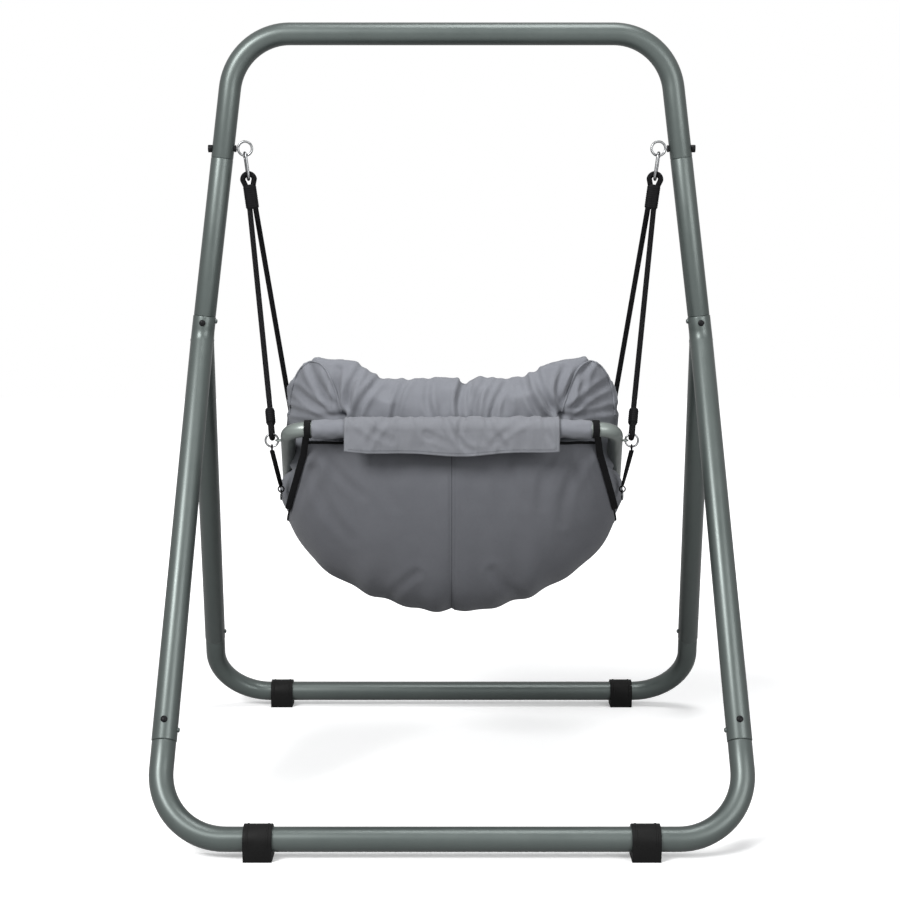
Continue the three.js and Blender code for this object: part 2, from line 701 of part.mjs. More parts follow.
// Hangers on each side: carabiner, rope with its loops, and the black sleeves round the rope
bothSides((side, hand) => {
  const eyeWireAt = onPole(side, eyeHeight).addScaledVector(v3(-side, 0, 0), eyeInset);
  eyeWireAt.z -= eyeRadius;
  const { rearCentre, frontCentre } = corners[hand];
  const rearTop = rearCentre.clone().add(v3(0, 0, ringRadius));
  const frontTop = frontCentre.clone().add(v3(0, 0, ringRadius));
  const down = towards(eyeWireAt, between(rearTop, frontTop, 0.5));
  const across = squareTo(v3(side, 0, 0), down);
  const depth = down.clone().cross(across).normalize();
  if (depth.y > 0) depth.negate();
  const at = (out, back, low) => eyeWireAt.clone()
    .addScaledVector(across, out).addScaledVector(depth, back).addScaledVector(down, low);

  // Carabiner: the spine and both ends are one bent wire, the gate closes the other long side
  const plane = depth.clone().applyAxisAngle(down, side * carabinerTurn);
  const topLine = -(eyeWire + carabinerWire) / 2 - fitGap;
  const lowLine = topLine + carabinerLength - carabinerWire;
  const halfSpan = (carabinerWidth - carabinerWire) / 2;
  const inPlane = (p, low) => eyeWireAt.clone().addScaledVector(plane, p).addScaledVector(down, low);
  const middle = (topLine + lowLine) / 2;
  const gateHalf = ((lowLine - topLine) * gateShare) / 2;
  const hookRoute = new BentRoute(
    [
      inPlane(-halfSpan, middle + gateHalf),
      inPlane(-halfSpan, lowLine),
      inPlane(halfSpan, lowLine),
      inPlane(halfSpan, topLine),
      inPlane(-halfSpan, topLine),
      inPlane(-halfSpan, middle - gateHalf),
    ],
    halfSpan - fitGap,
    3,
  );
  add(`carabiner_${hand}`, geometryOf(bar(hookRoute, carabinerWire / 2, 8)), silver);
  add(`carabiner_gate_${hand}`, geometryOf(rod(
    inPlane(-halfSpan, middle - gateHalf + fitGap),
    inPlane(-halfSpan, middle + gateHalf - fitGap),
    gateWire / 2,
    10,
  )), silver);

  // Rope: from the rear ring up, over the carabiner and down to the front ring, looped round each
  const ropeRadius = ropeDiameter / 2;
  const strand = ropeRadius + fitGap;
  const topLoop = (carabinerWire + ropeDiameter) / 2 + ropeLift;
  const endLoop = (ringWire + ropeDiameter) / 2 + fitGap;
  const loopArc = (centre, up, out, radius, from, to, steps) => {
    const found = [];
    for (let k = 0; k <= steps; k += 1) {
      const angle = from + ((to - from) * k) / steps;
      found.push(centre.clone()
        .addScaledVector(out, radius * Math.sin(angle))
        .addScaledVector(up, radius * Math.cos(angle)));
    }
    return found;
  };
  const sleeveTop = at(0, 0, lowLine + topSleeveStart);
  const sleeveLow = at(0, 0, lowLine + topSleeveStart + topSleeveLength);
  const rearUp = towards(rearTop, sleeveLow);
  const frontUp = towards(frontTop, sleeveLow);
  const rearOut = squareTo(v3(0, -1, 0), rearUp);
  const frontOut = squareTo(v3(0, 1, 0), frontUp);
  const rearTurned = rearOut.clone();
  const frontTurned = frontOut.clone();
  const hold = (base, up, out, low, share) => base.clone().addScaledVector(up, low).addScaledVector(out, share);
  const endTop = endSleeveStart + endSleeveLength;
  const rearPoints = [
    hold(rearTop, rearUp, rearTurned, endTop - overrun / 2, strand),
    hold(rearTop, rearUp, rearTurned, endSleeveStart, strand),
    ...loopArc(rearTop, rearUp, rearTurned, endLoop, Math.PI / 2, Math.PI * 1.5, 5),
    hold(rearTop, rearUp, rearTurned, endSleeveStart, -strand),
    hold(rearTop, rearUp, rearTurned, endTop, -strand),
  ];
  const frontPoints = [
    hold(frontTop, frontUp, frontTurned, endTop, -strand),
    hold(frontTop, frontUp, frontTurned, endSleeveStart, -strand),
    ...loopArc(frontTop, frontUp, frontTurned, endLoop, Math.PI * 1.5, Math.PI / 2, 5),
    hold(frontTop, frontUp, frontTurned, endSleeveStart, strand),
    hold(frontTop, frontUp, frontTurned, endTop - overrun / 2, strand),
  ];
  const topPoints = [
    sleeveLow.clone().addScaledVector(across, strand),
    sleeveTop.clone().addScaledVector(across, strand),
    ...loopArc(at(0, 0, lowLine), down.clone().negate(), across, topLoop, Math.PI / 2, -Math.PI / 2, 6),
    sleeveTop.clone().addScaledVector(across, -strand),
    sleeveLow.clone().addScaledVector(across, -strand),
  ];
  const ropePoints = [...rearPoints, ...topPoints, ...frontPoints];
  const ropeRoute = new BentRoute([ropePoints[0], ropePoints[1]], 1);
  ropeRoute.stations = ropePoints;
  ropeRoute.count = ropePoints.length - 1;
  add(`rope_${hand}`, geometryOf(bar(ropeRoute, ropeRadius, 8)), ropeBlack);

  // Sleeves: flat oval tubes that hold two strands side by side
  const oval = (extra) => {
    const shape = new THREE.Shape();
    const radius = ropeRadius + fitGap + extra;
    shape.absarc(strand, 0, radius, -Math.PI / 2, Math.PI / 2, false);
    shape.absarc(-strand, 0, radius, Math.PI / 2, Math.PI * 1.5, false);
    shape.closePath();
    return shape;
  };
  const sleeve = (from, up, out, length) => {
    const shape = oval(sleeveWall);
    shape.holes.push(new THREE.Path(oval(0).getPoints(4).reverse()));
    const geometry = new THREE.ExtrudeGeometry(shape, { depth: length, bevelEnabled: false, curveSegments: 4 });
    const turn = new THREE.Matrix4().makeBasis(out, up.clone().cross(out), up);
    geometry.applyMatrix4(turn);
    geometry.translate(from.x, from.y, from.z);
    return geometry;
  };
  const topUp = down.clone().negate();
  add(`rope_sleeve_top_${hand}`, sleeve(sleeveLow, topUp, across, topSleeveLength), ropeBlack);
  const rearFrom = rearTop.clone().addScaledVector(rearUp, endSleeveStart);
  add(`rope_sleeve_rear_${hand}`, sleeve(rearFrom, rearUp, rearTurned, endSleeveLength), ropeBlack);
  const frontFrom = frontTop.clone().addScaledVector(frontUp, endSleeveStart);
  add(`rope_sleeve_front_${hand}`, sleeve(frontFrom, frontUp, frontTurned, endSleeveLength), ropeBlack);
});

// Sling: a bucket of cloth from the rear bar down, under and up to the front bar
const slingTopY = rearBarY + slingTopForward;
const slingTopZ = rearBarZ - slingTopDrop;
const slingEnd = frameAt(0, frameLength - frameDiameter * 0.9);
const slingEndZ = slingEnd.z - frameDiameter * 0.2;
const slingLow = slingTopZ - slingDepth;

// Its middle line: forward of and below the rear edge, then behind the front end and above its lowest point
const slingBackPlaces = [[6, 92], [36, 192], [96, 280], [180, 319]];
const slingSeatPlaces = [[130, 8], [50, 55]];

// Places on its rim: wider than the frame's rear half, forward of or behind the ends, and below the rear edge
const rimBackPlaces = [[-10, 40, 64], [8, 86, 120], [18, 136, 150], [22, 196, 160]];
const rimFrontPlaces = [[14, 120, 172], [-18, 50, 186]];
const slingMiddle = new THREE.CatmullRomCurve3([
  v3(0, slingTopY, slingTopZ),
  ...slingBackPlaces.map(([forward, drop]) => v3(0, slingTopY + forward, slingTopZ - drop)),
  ...slingSeatPlaces.map(([back, rise]) => v3(0, slingEnd.y - back, slingLow + rise)),
  v3(0, slingEnd.y, slingEndZ),
]);
const slingRim = new THREE.CatmullRomCurve3([
  v3(rearHalfWidth - slingRimInset, slingTopY, slingTopZ),
  ...rimBackPlaces.map(([out, forward, drop]) => v3(rearHalfWidth + out, slingTopY + forward, slingTopZ - drop)),
  ...rimFrontPlaces.map(([out, back, drop]) => v3(rearHalfWidth + out, slingEnd.y - back, slingTopZ - drop)),
  v3(rearHalfWidth - slingEndInset, slingEnd.y, slingEndZ),
]);

/** A point of a curve that runs on straight past its ends. */
function runOn(curve, t) {
  const inside = THREE.MathUtils.clamp(t, 0, 1);
  return curve.getPoint(inside).addScaledVector(curve.getTangent(inside), (t - inside) * curve.getLength());
}

/** A point of the sling: t runs from the rear bar to the front bar, q across from -1 to 1. */
function slingAt(t, q) {
  const low = runOn(slingMiddle, t);
  const rim = runOn(slingRim, t);
  const angle = (Math.abs(q) * Math.PI) / 2;
  const lift = 1 - Math.cos(angle);
  return v3(
    Math.sign(q) * rim.x * Math.sin(angle),
    THREE.MathUtils.lerp(low.y, rim.y, lift),
    THREE.MathUtils.lerp(low.z, rim.z, lift),
  );
}

/** The direction into the bucket at a point of the sling. */
function slingInward(t, q) {
  const step = 0.01;
  const alongT = slingAt(t + step, q).sub(slingAt(t - step, q));
  const alongQ = slingAt(t, q + step).sub(slingAt(t, q - step));
  return alongQ.cross(alongT).normalize();
}

const slingRows = 14;
const slingColumns = 16;
const slingGrid = (offset, spread = 1) => Array.from({ length: slingRows }, (_, i) => (
  Array.from({ length: slingColumns + 1 }, (__, j) => {
    const t = 0.5 + (i / (slingRows - 1) - 0.5) * spread;
    const q = ((j / slingColumns) * 2 - 1) * spread;
    return slingAt(t, q).addScaledVector(slingInward(t, q), offset);
  })
));
add('sling', geometryOf(gridSolid(slingGrid(0), slingGrid(slingThickness))), canvas);

// Cloth on the rear bar: a sleeve round the tube and a sewn flap over it
const barSleeveRadius = frameDiameter / 2 + barSleeveWall;
const barLeft = frameAt(-barSleeveHalf, 0);
const barRight = frameAt(barSleeveHalf, 0);
const barSleeve = cut(
  rod(barLeft, barRight, barSleeveRadius, 20),
  rod(frameAt(-barSleeveHalf - overrun, 0), frameAt(barSleeveHalf + overrun, 0), frameDiameter / 2 + fitGap, 20),
);
add('rear_bar_sleeve', geometryOf(barSleeve), cushionCloth);

const flapColumns = 12;
const flapTurns = 6;
const flapRadius = barSleeveRadius + softGap;
const flapGrid = (offset) => Array.from({ length: flapTurns + 4 }, (_, i) => (
  Array.from({ length: flapColumns + 1 }, (__, j) => {
    const x = flapHalf * ((j / flapColumns) * 2 - 1);
    const sway = 1 + 0.16 * Math.cos((x / flapHalf) * Math.PI * 0.5);
    if (i <= flapTurns) {
      const angle = Math.PI * (0.42 + (0.58 * i) / flapTurns);
      const radius = flapRadius + offset;
      return v3(x, rearBarY + radius * Math.cos(angle), rearBarZ + radius * Math.sin(angle));
    }
    const drop = (flapDrop * sway * (i - flapTurns)) / 3;
    return v3(x, rearBarY - flapRadius - offset, rearBarZ - drop);
  })
));
add('rear_flap', geometryOf(gridSolid(flapGrid(0), flapGrid(flapThickness))), flapCloth);

// Cushions: the back one stands against the rear bar with an ear at each side
const clearFrame = joined(
  ...[-1, 1].map((side) => rod(
    frameAt(side * railHalf(jointS - overrun), jointS - overrun),
    frameAt(side * railHalf(jointS + overrun), jointS + overrun),
    round(frameDiameter / 2 + softGap, frameSides),
    frameSides,
  )),
  ...['left', 'right'].flatMap((hand) => [
    wireRing(corners[hand].frontLug, v3(1, 0, 0), lugRadius, lugWire + 2 * softGap),
    wireRing(corners[hand].frontCentre, v3(0, 1, 0), ringRadius, ringWire + 2 * softGap),
  ]),
  bar(rearFrameRoute, round(frameDiameter / 2 + softGap, frameSides), frameSides),
  bar(frontFrameRoute, round(frameDiameter / 2 + softGap, frameSides), frameSides),
);
const clearBar = rod(
  frameAt(-barSleeveHalf - overrun, 0),
  frameAt(barSleeveHalf + overrun, 0),
  flapRadius + flapThickness + softGap,
  20,
);
const earPlace = 208;
const earWidth = 62;
const earFall = 62;
const backFootY = -90;
const backWrap = 70;
const backLean = 0.26;
const backTop = (x) => {
  const away = Math.abs(x);
  const ear = Math.exp(-(((away - earPlace) / earWidth) ** 2));
  const fall = Math.max(0, (away - earPlace) / (backHalfWidth - earPlace)) ** 2.4;
  return plateauHeight + (earHeight - plateauHeight) * ear - fall * earFall;
};
const backGrid = (face, rows, columns, extra) => Array.from({ length: rows + 1 }, (_, i) => (
  Array.from({ length: columns + 1 }, (__, j) => {
    const u = Math.sin((Math.PI / 2) * ((j / columns) * 2 - 1));
    const v = Math.sin((Math.PI / 2) * ((i / rows) * 2 - 1));
    const x = u * (backHalfWidth + extra) * (1 - 0.2 * Math.max(0, -v) ** 1.6);
    const high = backTop(x) + extra;
    const low = backFootHeight - extra;
    const z = THREE.MathUtils.lerp(low, high, (v + 1) / 2);
    const crown = (1 - Math.abs(u) ** 3.2) ** 0.5 * (1 - v * v) ** 0.5;
    const middleY = backFootY - (z - backFootHeight) * backLean + backWrap * Math.abs(u) ** 2.5;
    return v3(x, middleY + face * ((backThickness / 2) * crown + extra * Math.sign(crown)), z);
  })
));
const backBody = (extra, rows = 10, columns = 18) => gridSolid(
  backGrid(-1, rows, columns, extra),
  backGrid(1, rows, columns, extra),
);
const slingBlock = gridSolid(slingGrid(-blockDepth), slingGrid(slingThickness + softGap));
const clearSling = gridSolid(
  slingGrid(-softGap * 3, clearSpread),
  slingGrid(slingThickness + softGap * 3, clearSpread),
);
add('back_cushion', geometryOf(cut(backBody(0), clearFrame, clearBar, slingBlock, clearSling)), cushionCloth);

// Side bolsters hang inside the rails and swell out under them
const clearBack = backBody(softGap * 2);
bothSides((side, hand) => {
  const rings = 10;
  const turns = 10;
  const fromS = sideBolsterStart;
  const toS = frameLength - sideBolsterEndInset;
  const places = [];
  for (let i = 0; i <= rings; i += 1) {
    const share = i / rings;
    const s = THREE.MathUtils.lerp(fromS, toS, share);
    const swell = Math.max(Math.sin(Math.PI * share), 0) ** 0.4;
    const centre = frameAt(side * (railHalf(s) - sideBolsterInset - sideBolsterTaper * share), s);
    centre.z -= sideBolsterDrop;
    const ring = [];
    for (let k = 0; k < turns; k += 1) {
      const angle = (2 * Math.PI * k) / turns;
      ring.push(centre.clone().add(v3(
        side * sideBolsterRadius * swell * Math.cos(angle),
        0,
        sideBolsterHeight * swell * Math.sin(angle),
      )));
    }
    places.push(ring);
  }
  const tips = [places[0], places[rings]].map((ring) => (
    ring.reduce((sum, p) => sum.add(p), v3(0, 0, 0)).divideScalar(turns)
  ));
  const points = [];
  const face = (a, b, c) => [a, b, c].forEach((p) => points.push(p.x, p.y, p.z));
  for (let i = 1; i < rings - 1; i += 1) {
    for (let k = 0; k < turns; k += 1) {
      const n = (k + 1) % turns;
      face(places[i][k], places[i + 1][k], places[i + 1][n]);
      face(places[i][k], places[i + 1][n], places[i][n]);
    }
  }
  for (let k = 0; k < turns; k += 1) {
    const n = (k + 1) % turns;
    face(tips[0], places[1][k], places[1][n]);
    face(tips[1], places[rings - 1][n], places[rings - 1][k]);
  }
  const geometry = new THREE.BufferGeometry();
  geometry.setAttribute('position', new THREE.BufferAttribute(new Float32Array(points), 3));
  const raw = solid(geometry);
  const body = raw.volume() > 0 ? raw : solid(flipped(geometry));
  const trimmed = cut(body, clearFrame, clearBack, slingBlock, clearSling);
  add(`side_cushion_${hand}`, geometryOf(trimmed), cushionCloth);
});

// Seat pad: follows the bottom of the sling
const padRows = 8;
const padColumns = 10;
const padGrid = (top) => Array.from({ length: padRows + 1 }, (_, i) => (
  Array.from({ length: padColumns + 1 }, (__, j) => {
    const u = (j / padColumns) * 2 - 1;
    const v = (i / padRows) * 2 - 1;
    const t = 0.66 + 0.2 * v;
    const q = 0.5 * u * (1 - 0.1 * v * v);
    const crown = (1 - u ** 4) ** 0.5 * (1 - v ** 4) ** 0.5;
    const foot = slingThickness + softGap * 2 + seatPadEdgeRise * (1 - crown);
    const rise = foot + (top ? seatPadThickness * crown : 0);
    return slingAt(t, q).addScaledVector(slingInward(t, q), rise);
  })
));
const seatPad = cut(gridSolid(padGrid(false), padGrid(true)), clearBack, slingBlock);
add('seat_cushion', geometryOf(seatPad), cushionCloth);

/** A flat strap along a chain of points, with its width along a given direction. */
function strap(points, widthWay, width) {
  const grid = (half) => points.map((point, i) => {
    const along = towards(points[Math.max(i - 1, 0)], points[Math.min(i + 1, points.length - 1)]);
    const wide = squareTo(widthWay, along);
    const thick = along.clone().cross(wide).normalize();
    return [-1, 1].map((end) => point.clone()
      .addScaledVector(wide, (end * width) / 2)
      .addScaledVector(thick, half));
  });
  return gridSolid(grid(-strapThickness / 2), grid(strapThickness / 2));
}

// Edge straps: looped round the rear bar, then down the edge of the back panel
bothSides((side, hand) => {
  const loopInner = frameDiameter / 2 + softGap;
  const loopOuter = loopInner + strapThickness;
  const from = frameAt(side * (strapLoopPlace - strapWidth / 2), 0);
  const to = frameAt(side * (strapLoopPlace + strapWidth / 2), 0);
  const loop = cut(
    rod(from, to, loopOuter, 14),
    rod(
      from.clone().add(v3(-side * overrun, 0, 0)),
      to.clone().add(v3(side * overrun, 0, 0)),
      round(loopInner, 14),
      14,
    ),
  );
  const start = frameAt(side * strapLoopPlace, 0);
  start.y -= loopInner + strapThickness / 2;
  const line = [start];
  for (let k = 1; k <= 4; k += 1) {
    const t = 0.03 + 0.27 * (k / 4);
    const onEdge = slingAt(t, side).addScaledVector(slingInward(t, side), -strapThickness / 2 - strapStand);
    line.push(onEdge);
  }
  const band = strap(line, v3(side, 0, 0.3), strapWidth);
  add(`edge_strap_${hand}`, geometryOf(cut(joined(loop, band), clearFrame, clearSling)), webbing);

  // Side strap: from the rear corner ring down to a small ring at the sling's side
  const { rearCentre } = corners[hand];
  const lowWire = rearCentre.clone().add(v3(0, 0, -ringRadius));
  const sideRing = slingAt(0.36, side);
  sideRing.x += side * sideRingOut;
  sideRing.z += sideRingRise;
  add(
    `side_ring_${hand}`,
    geometryOf(wireRing(sideRing, v3(1, 0, 0), sideRingRadius, sideRingWire, 12)),
    silver,
  );
  const topLoopRise = ringWire / 2 + strapLoopWire / 2 + fitGap - strapLoopRadius;
  const topLoopAt = lowWire.clone().add(v3(0, 0, topLoopRise));
  const ringTop = sideRing.clone().add(v3(0, 0, sideRingRadius));
  const lowLoopRise = strapLoopRadius - sideRingWire / 2 - strapLoopWire / 2 - fitGap;
  const lowLoopAt = ringTop.clone().add(v3(0, 0, lowLoopRise));
  const runFrom = topLoopAt.clone().add(v3(0, 0, -strapLoopRadius));
  const runTo = lowLoopAt.clone().add(v3(0, 0, strapLoopRadius));
  const upper = wireRing(topLoopAt, v3(1, 0, 0), strapLoopRadius, strapLoopWire, 12);
  const lower = wireRing(lowLoopAt, v3(0, 1, 0), strapLoopRadius, strapLoopWire, 12);
  const run = strap([runFrom, between(runFrom, runTo, 0.5), runTo], v3(0, 1, 0), sideStrapWidth);
  add(`side_strap_${hand}`, geometryOf(cut(joined(upper, lower, run), clearFrame)), webbing);
});

export default cradle;
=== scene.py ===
"""Hanging baby cradle: a padded fabric seat on ropes under a stand of bent steel tube.

Sizes are in millimetres until a mesh is built, and every mesh is built in metres in its own place.
The seat faces +Y, so the rear bar is the one nearest to the camera.
"""

import json
import logging
import math
from dataclasses import dataclass
from enum import Enum
from typing import Callable

import bmesh
import bpy
from mathutils import Matrix, Quaternion, Vector, noise
from mathutils.bvhtree import BVHTree

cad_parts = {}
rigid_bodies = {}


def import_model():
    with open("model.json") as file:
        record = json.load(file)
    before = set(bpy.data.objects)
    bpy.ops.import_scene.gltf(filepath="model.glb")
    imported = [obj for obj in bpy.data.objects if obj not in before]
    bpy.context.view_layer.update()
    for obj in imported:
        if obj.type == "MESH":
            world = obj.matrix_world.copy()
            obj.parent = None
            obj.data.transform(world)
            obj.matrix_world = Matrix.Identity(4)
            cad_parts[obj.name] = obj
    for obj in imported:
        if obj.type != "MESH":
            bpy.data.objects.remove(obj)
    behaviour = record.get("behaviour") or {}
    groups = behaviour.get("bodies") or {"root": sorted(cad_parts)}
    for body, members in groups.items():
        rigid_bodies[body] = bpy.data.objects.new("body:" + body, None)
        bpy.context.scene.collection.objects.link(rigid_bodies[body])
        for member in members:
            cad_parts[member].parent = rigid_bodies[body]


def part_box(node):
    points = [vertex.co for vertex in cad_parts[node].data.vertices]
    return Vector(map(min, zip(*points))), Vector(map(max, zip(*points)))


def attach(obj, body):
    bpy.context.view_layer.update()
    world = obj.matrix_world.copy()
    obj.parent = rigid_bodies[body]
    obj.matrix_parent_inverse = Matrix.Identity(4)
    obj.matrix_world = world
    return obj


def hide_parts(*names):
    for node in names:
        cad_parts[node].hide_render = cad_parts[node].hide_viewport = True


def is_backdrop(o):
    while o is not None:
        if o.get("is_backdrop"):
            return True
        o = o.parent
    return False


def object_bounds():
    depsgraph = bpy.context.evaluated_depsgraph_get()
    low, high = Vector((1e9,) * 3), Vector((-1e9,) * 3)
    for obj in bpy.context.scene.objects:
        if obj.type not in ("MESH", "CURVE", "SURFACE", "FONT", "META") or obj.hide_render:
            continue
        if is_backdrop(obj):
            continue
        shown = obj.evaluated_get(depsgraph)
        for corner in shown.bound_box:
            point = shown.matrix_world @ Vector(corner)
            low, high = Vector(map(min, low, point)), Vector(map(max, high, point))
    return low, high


LOG = logging.getLogger("hanging_cradle")
MM = 0.001
GAP = 0.3
Piece = bpy.types.Object
Node = bpy.types.Node
Socket = bpy.types.NodeSocket
STAND = "stand"
SEAT = "seat"
MERGE_REACH = 2e-6
FLAT_DEGREES = 2.0
EDGE_DEGREES = 38.0
BEVEL_STEPS = 3
RING_STEPS = 44
WIRE_SIDES = 14
STRAP_SHARES = (-1.0, -0.86, -0.3, 0.3, 0.86, 1.0)
STRAP_EDGE_SHARE = 0.55
STITCH_FLAT_SHARE = 0.8
STITCH_LONG_SHARE = 0.36
SWELL_FRAMES = 16
CLOTH_STIFFNESS = 18
CREASE_BOW_SHARE = 0.09
CREASE_REACH = 4
BEHIND_Y = -600.0
SHEEN_ROUGHNESS = 0.5
COAT_ROUGHNESS = 0.3
# Painted shade: the blend and the tone with which a coat or plate is darkened where its surface turns away
# from the view.
EDGE_SHADE_BLEND = 0.42
EDGE_SHADE_TONE = (0.12, 0.13, 0.13, 1.0)


class Way(Enum):
    """A side or an end of the cradle."""

    @property
    def label(self) -> str:
        """Its name, as node names hold it."""
        return self.value[0]

    @property
    def sign(self) -> int:
        """Its sign along its axis."""
        return self.value[1]


class Hand(Way):
    """A side of the cradle, along X."""

    LEFT = ("left", -1)
    RIGHT = ("right", 1)


class Facing(Way):
    """An end of the stand or of the seat, along Y."""

    REAR = ("rear", -1)
    FRONT = ("front", 1)


class Slot(Enum):
    """Material slots of the record."""

    STAND_STEEL = "stand_steel"
    SEAT_STEEL = "seat_steel"
    BRIGHT_STEEL = "bright_steel"
    BLACK_STEEL = "black_steel"
    RUBBER = "rubber"
    ROPE = "rope"
    WEBBING = "webbing"
    CANVAS = "canvas"
    CUSHION_CLOTH = "cushion_cloth"
    FLAP_CLOTH = "flap_cloth"


# Vectors and runs


def between(a: Vector, b: Vector, share: float) -> Vector:
    """A point on the way from a to b."""
    return a.lerp(b, share)


def towards(a: Vector, b: Vector) -> Vector:
    """The unit direction from a to b."""
    return (b - a).normalized()


def hill(place: float, middle: float, width: float) -> float:
    """A soft hill of height one round a middle."""
    return math.exp(-(((place - middle) / width) ** 2))


def square_to(vector: Vector, axis: Vector) -> Vector:
    """The part of a vector that is square to an axis, at unit length."""
    return (vector - axis * vector.dot(axis)).normalized()


class BentRun:
    """A run through corner points with a round bend at each inner corner."""

    def __init__(self, corners: list[Vector], radii: list[float], steps: int = 14) -> None:
        """Lays the stations of the run.

        Args:
            corners: The corner points, in millimetres.
            radii: The bend radius at each inner corner.
            steps: How many short lengths make one bend.
        """
        self.stations: list[Vector] = [corners[0].copy()]
        self.arcs: list[tuple[Vector, Vector, Vector, float]] = []
        for i in range(1, len(corners) - 1):
            before = towards(corners[i], corners[i - 1])
            after = towards(corners[i], corners[i + 1])
            half = before.angle(after) / 2
            radius = radii[i - 1]
            reach = radius / math.tan(half)
            centre = corners[i] + (before + after).normalized() * (radius / math.sin(half))
            start = corners[i] + before * reach - centre
            end = corners[i] + after * reach - centre
            sweep = start.angle(end)
            normal = start.cross(end).normalized()
            self.arcs.append((centre, start, normal, sweep))
            self.stations += [
                centre + Quaternion(normal, sweep * k / steps) @ start for k in range(steps + 1)
            ]
        self.stations.append(corners[-1].copy())

    def on_arc(self, index: int, share: float) -> Vector:
        """A point on one bend, at a share of its turn."""
        centre, start, normal, sweep = self.arcs[index]
        return centre + Quaternion(normal, sweep * share) @ start


def eased(points: list[Vector], steps: int = 4) -> list[Vector]:
    """A smooth run through points that may turn sharply.

    Args:
        points: The points to pass through.
        steps: How many short lengths lie between two points.

    Returns:
        The points of the smooth run.
    """
    found: list[Vector] = []
    for i in range(len(points) - 1):
        a, b = points[i], points[i + 1]
        reach = (b - a).length
        before = towards(points[max(i - 1, 0)], b)
        after = towards(a, points[min(i + 2, len(points) - 1)])
        short_a = min(reach, (a - points[max(i - 1, 0)]).length or reach)
        short_b = min(reach, (points[min(i + 2, len(points) - 1)] - b).length or reach)
        for k in range(steps):
            t = k / steps
            h1, h2 = 2 * t**3 - 3 * t**2 + 1, -2 * t**3 + 3 * t**2
            h3, h4 = t**3 - 2 * t**2 + t, t**3 - t**2
            found.append(a * h1 + b * h2 + before * (h3 * short_a) + after * (h4 * short_b))
    found.append(points[-1].copy())
    return found


def run_length(points: list[Vector]) -> float:
    """The length of a chain of points."""
    return sum((b - a).length for a, b in zip(points, points[1:]))


# Mesh makers


def mesh_object(name: str, bm: bmesh.types.BMesh, smooth: float | None = 40.0) -> Piece:
    """Turns a bmesh into an object at the origin.

    Args:
        name: The piece's name.
        bm: The bmesh, in metres. It is freed.
        smooth: The sharpest angle, in degrees, that is still shaded smooth, or None for flat.

    Returns:
        The new object.
    """
    mesh = bpy.data.meshes.new(name)
    bm.to_mesh(mesh)
    bm.free()
    piece = bpy.data.objects.new(name, mesh)
    bpy.context.scene.collection.objects.link(piece)
    if smooth is not None:
        mesh.shade_smooth()
        mesh.set_sharp_from_angle(angle=math.radians(smooth))
    return piece


def swept(
    name: str,
    stations: list[Vector],
    radius: float | Callable[[float], float],
    sides: int = 28,
    closed: bool = False,
    flat: float = 1.0,
    wide_way: Vector | None = None,
) -> Piece:
    """Draws a round or oval section along a run.

    Args:
        name: The piece's name.
        stations: The run's points, in millimetres.
        radius: The section's radius, or a function of the length run so far.
        sides: How many sides the section has.
        closed: Whether the run closes on itself.
        flat: The section's thickness as a share of its width.
        wide_way: The direction of an oval section's width, or None for a round one.

    Returns:
        The piece. Its UV map holds the turn round the run and the length along it in metres.
    """
    size = radius if callable(radius) else lambda _: radius
    bm = bmesh.new()
    turn_of = bm.verts.layers.int.new("turn")
    ring_of = bm.verts.layers.int.new("ring")
    count = len(stations)
    normal = None
    runs = [0.0]
    rings: list[list[bmesh.types.BMEdge]] = []
    for i, here in enumerate(stations):
        back = stations[i - 1] if (i or closed) else here
        ahead = stations[(i + 1) % count] if (i < count - 1 or closed) else here
        if i:
            runs.append(runs[-1] + (here - stations[i - 1]).length)
        along = ((here - back).normalized() + (ahead - here).normalized()).normalized()
        if wide_way is not None:
            normal = square_to(wide_way, along)
        elif normal is None:
            guess = Vector((0, 0, 1)) if abs(along.z) < 0.8 else Vector((0, 1, 0))
            normal = square_to(guess, along)
        else:
            normal = square_to(normal, along)
        side = along.cross(normal).normalized()
        wide = size(runs[-1]) * MM
        turn = Matrix((normal * wide, side * wide * flat, along)).transposed().to_4x4()
        turn.translation = here * MM
        made = bmesh.ops.create_circle(bm, segments=sides, radius=1.0, matrix=turn)["verts"]
        for k, vertex in enumerate(made):
            vertex[turn_of] = k
            vertex[ring_of] = i
        rings.append(list(bm.edges)[-sides:])
    for low, high in zip(rings, rings[1:] + rings[:1] if closed else rings[1:]):
        bmesh.ops.bridge_loops(bm, edges=low + high)
    runs.append(runs[-1] + (stations[0] - stations[-1]).length)
    uv = bm.loops.layers.uv.new("along")
    for face in bm.faces:
        around = {vertex[turn_of] for vertex in face.verts}
        passed = {vertex[ring_of] for vertex in face.verts}
        for loop in face.loops:
            k, i = loop.vert[turn_of], loop.vert[ring_of]
            share = (sides if k == 0 and sides - 1 in around else k) / sides
            far = runs[count if i == 0 and closed and count - 1 in passed else i]
            loop[uv].uv = (share, far * MM)
    if not closed:
        for end in (rings[0], rings[-1]):
            bmesh.ops.edgeloop_fill(bm, edges=end)
    bm.verts.layers.int.remove(bm.verts.layers.int["turn"])
    bm.verts.layers.int.remove(bm.verts.layers.int["ring"])
    bmesh.ops.recalc_face_normals(bm, faces=bm.faces[:])
    return mesh_object(name, bm)


def wire_ring(name: str, centre: Vector, axis: Vector, radius: float, wire: float) -> Piece:
    """A closed ring of round wire.

    Args:
        name: The piece's name.
        centre: The ring's middle, in millimetres.
        axis: The ring's axis.
        radius: The radius of the wire's centre line.
        wire: The wire's diameter.

    Returns:
        The piece.
    """
    out = axis.orthogonal().normalized() * radius
    turns = [math.tau * k / RING_STEPS for k in range(RING_STEPS)]
    stations = [centre + Quaternion(axis.normalized(), turn) @ out for turn in turns]
    return swept(name, stations, wire / 2, WIRE_SIDES, closed=True)


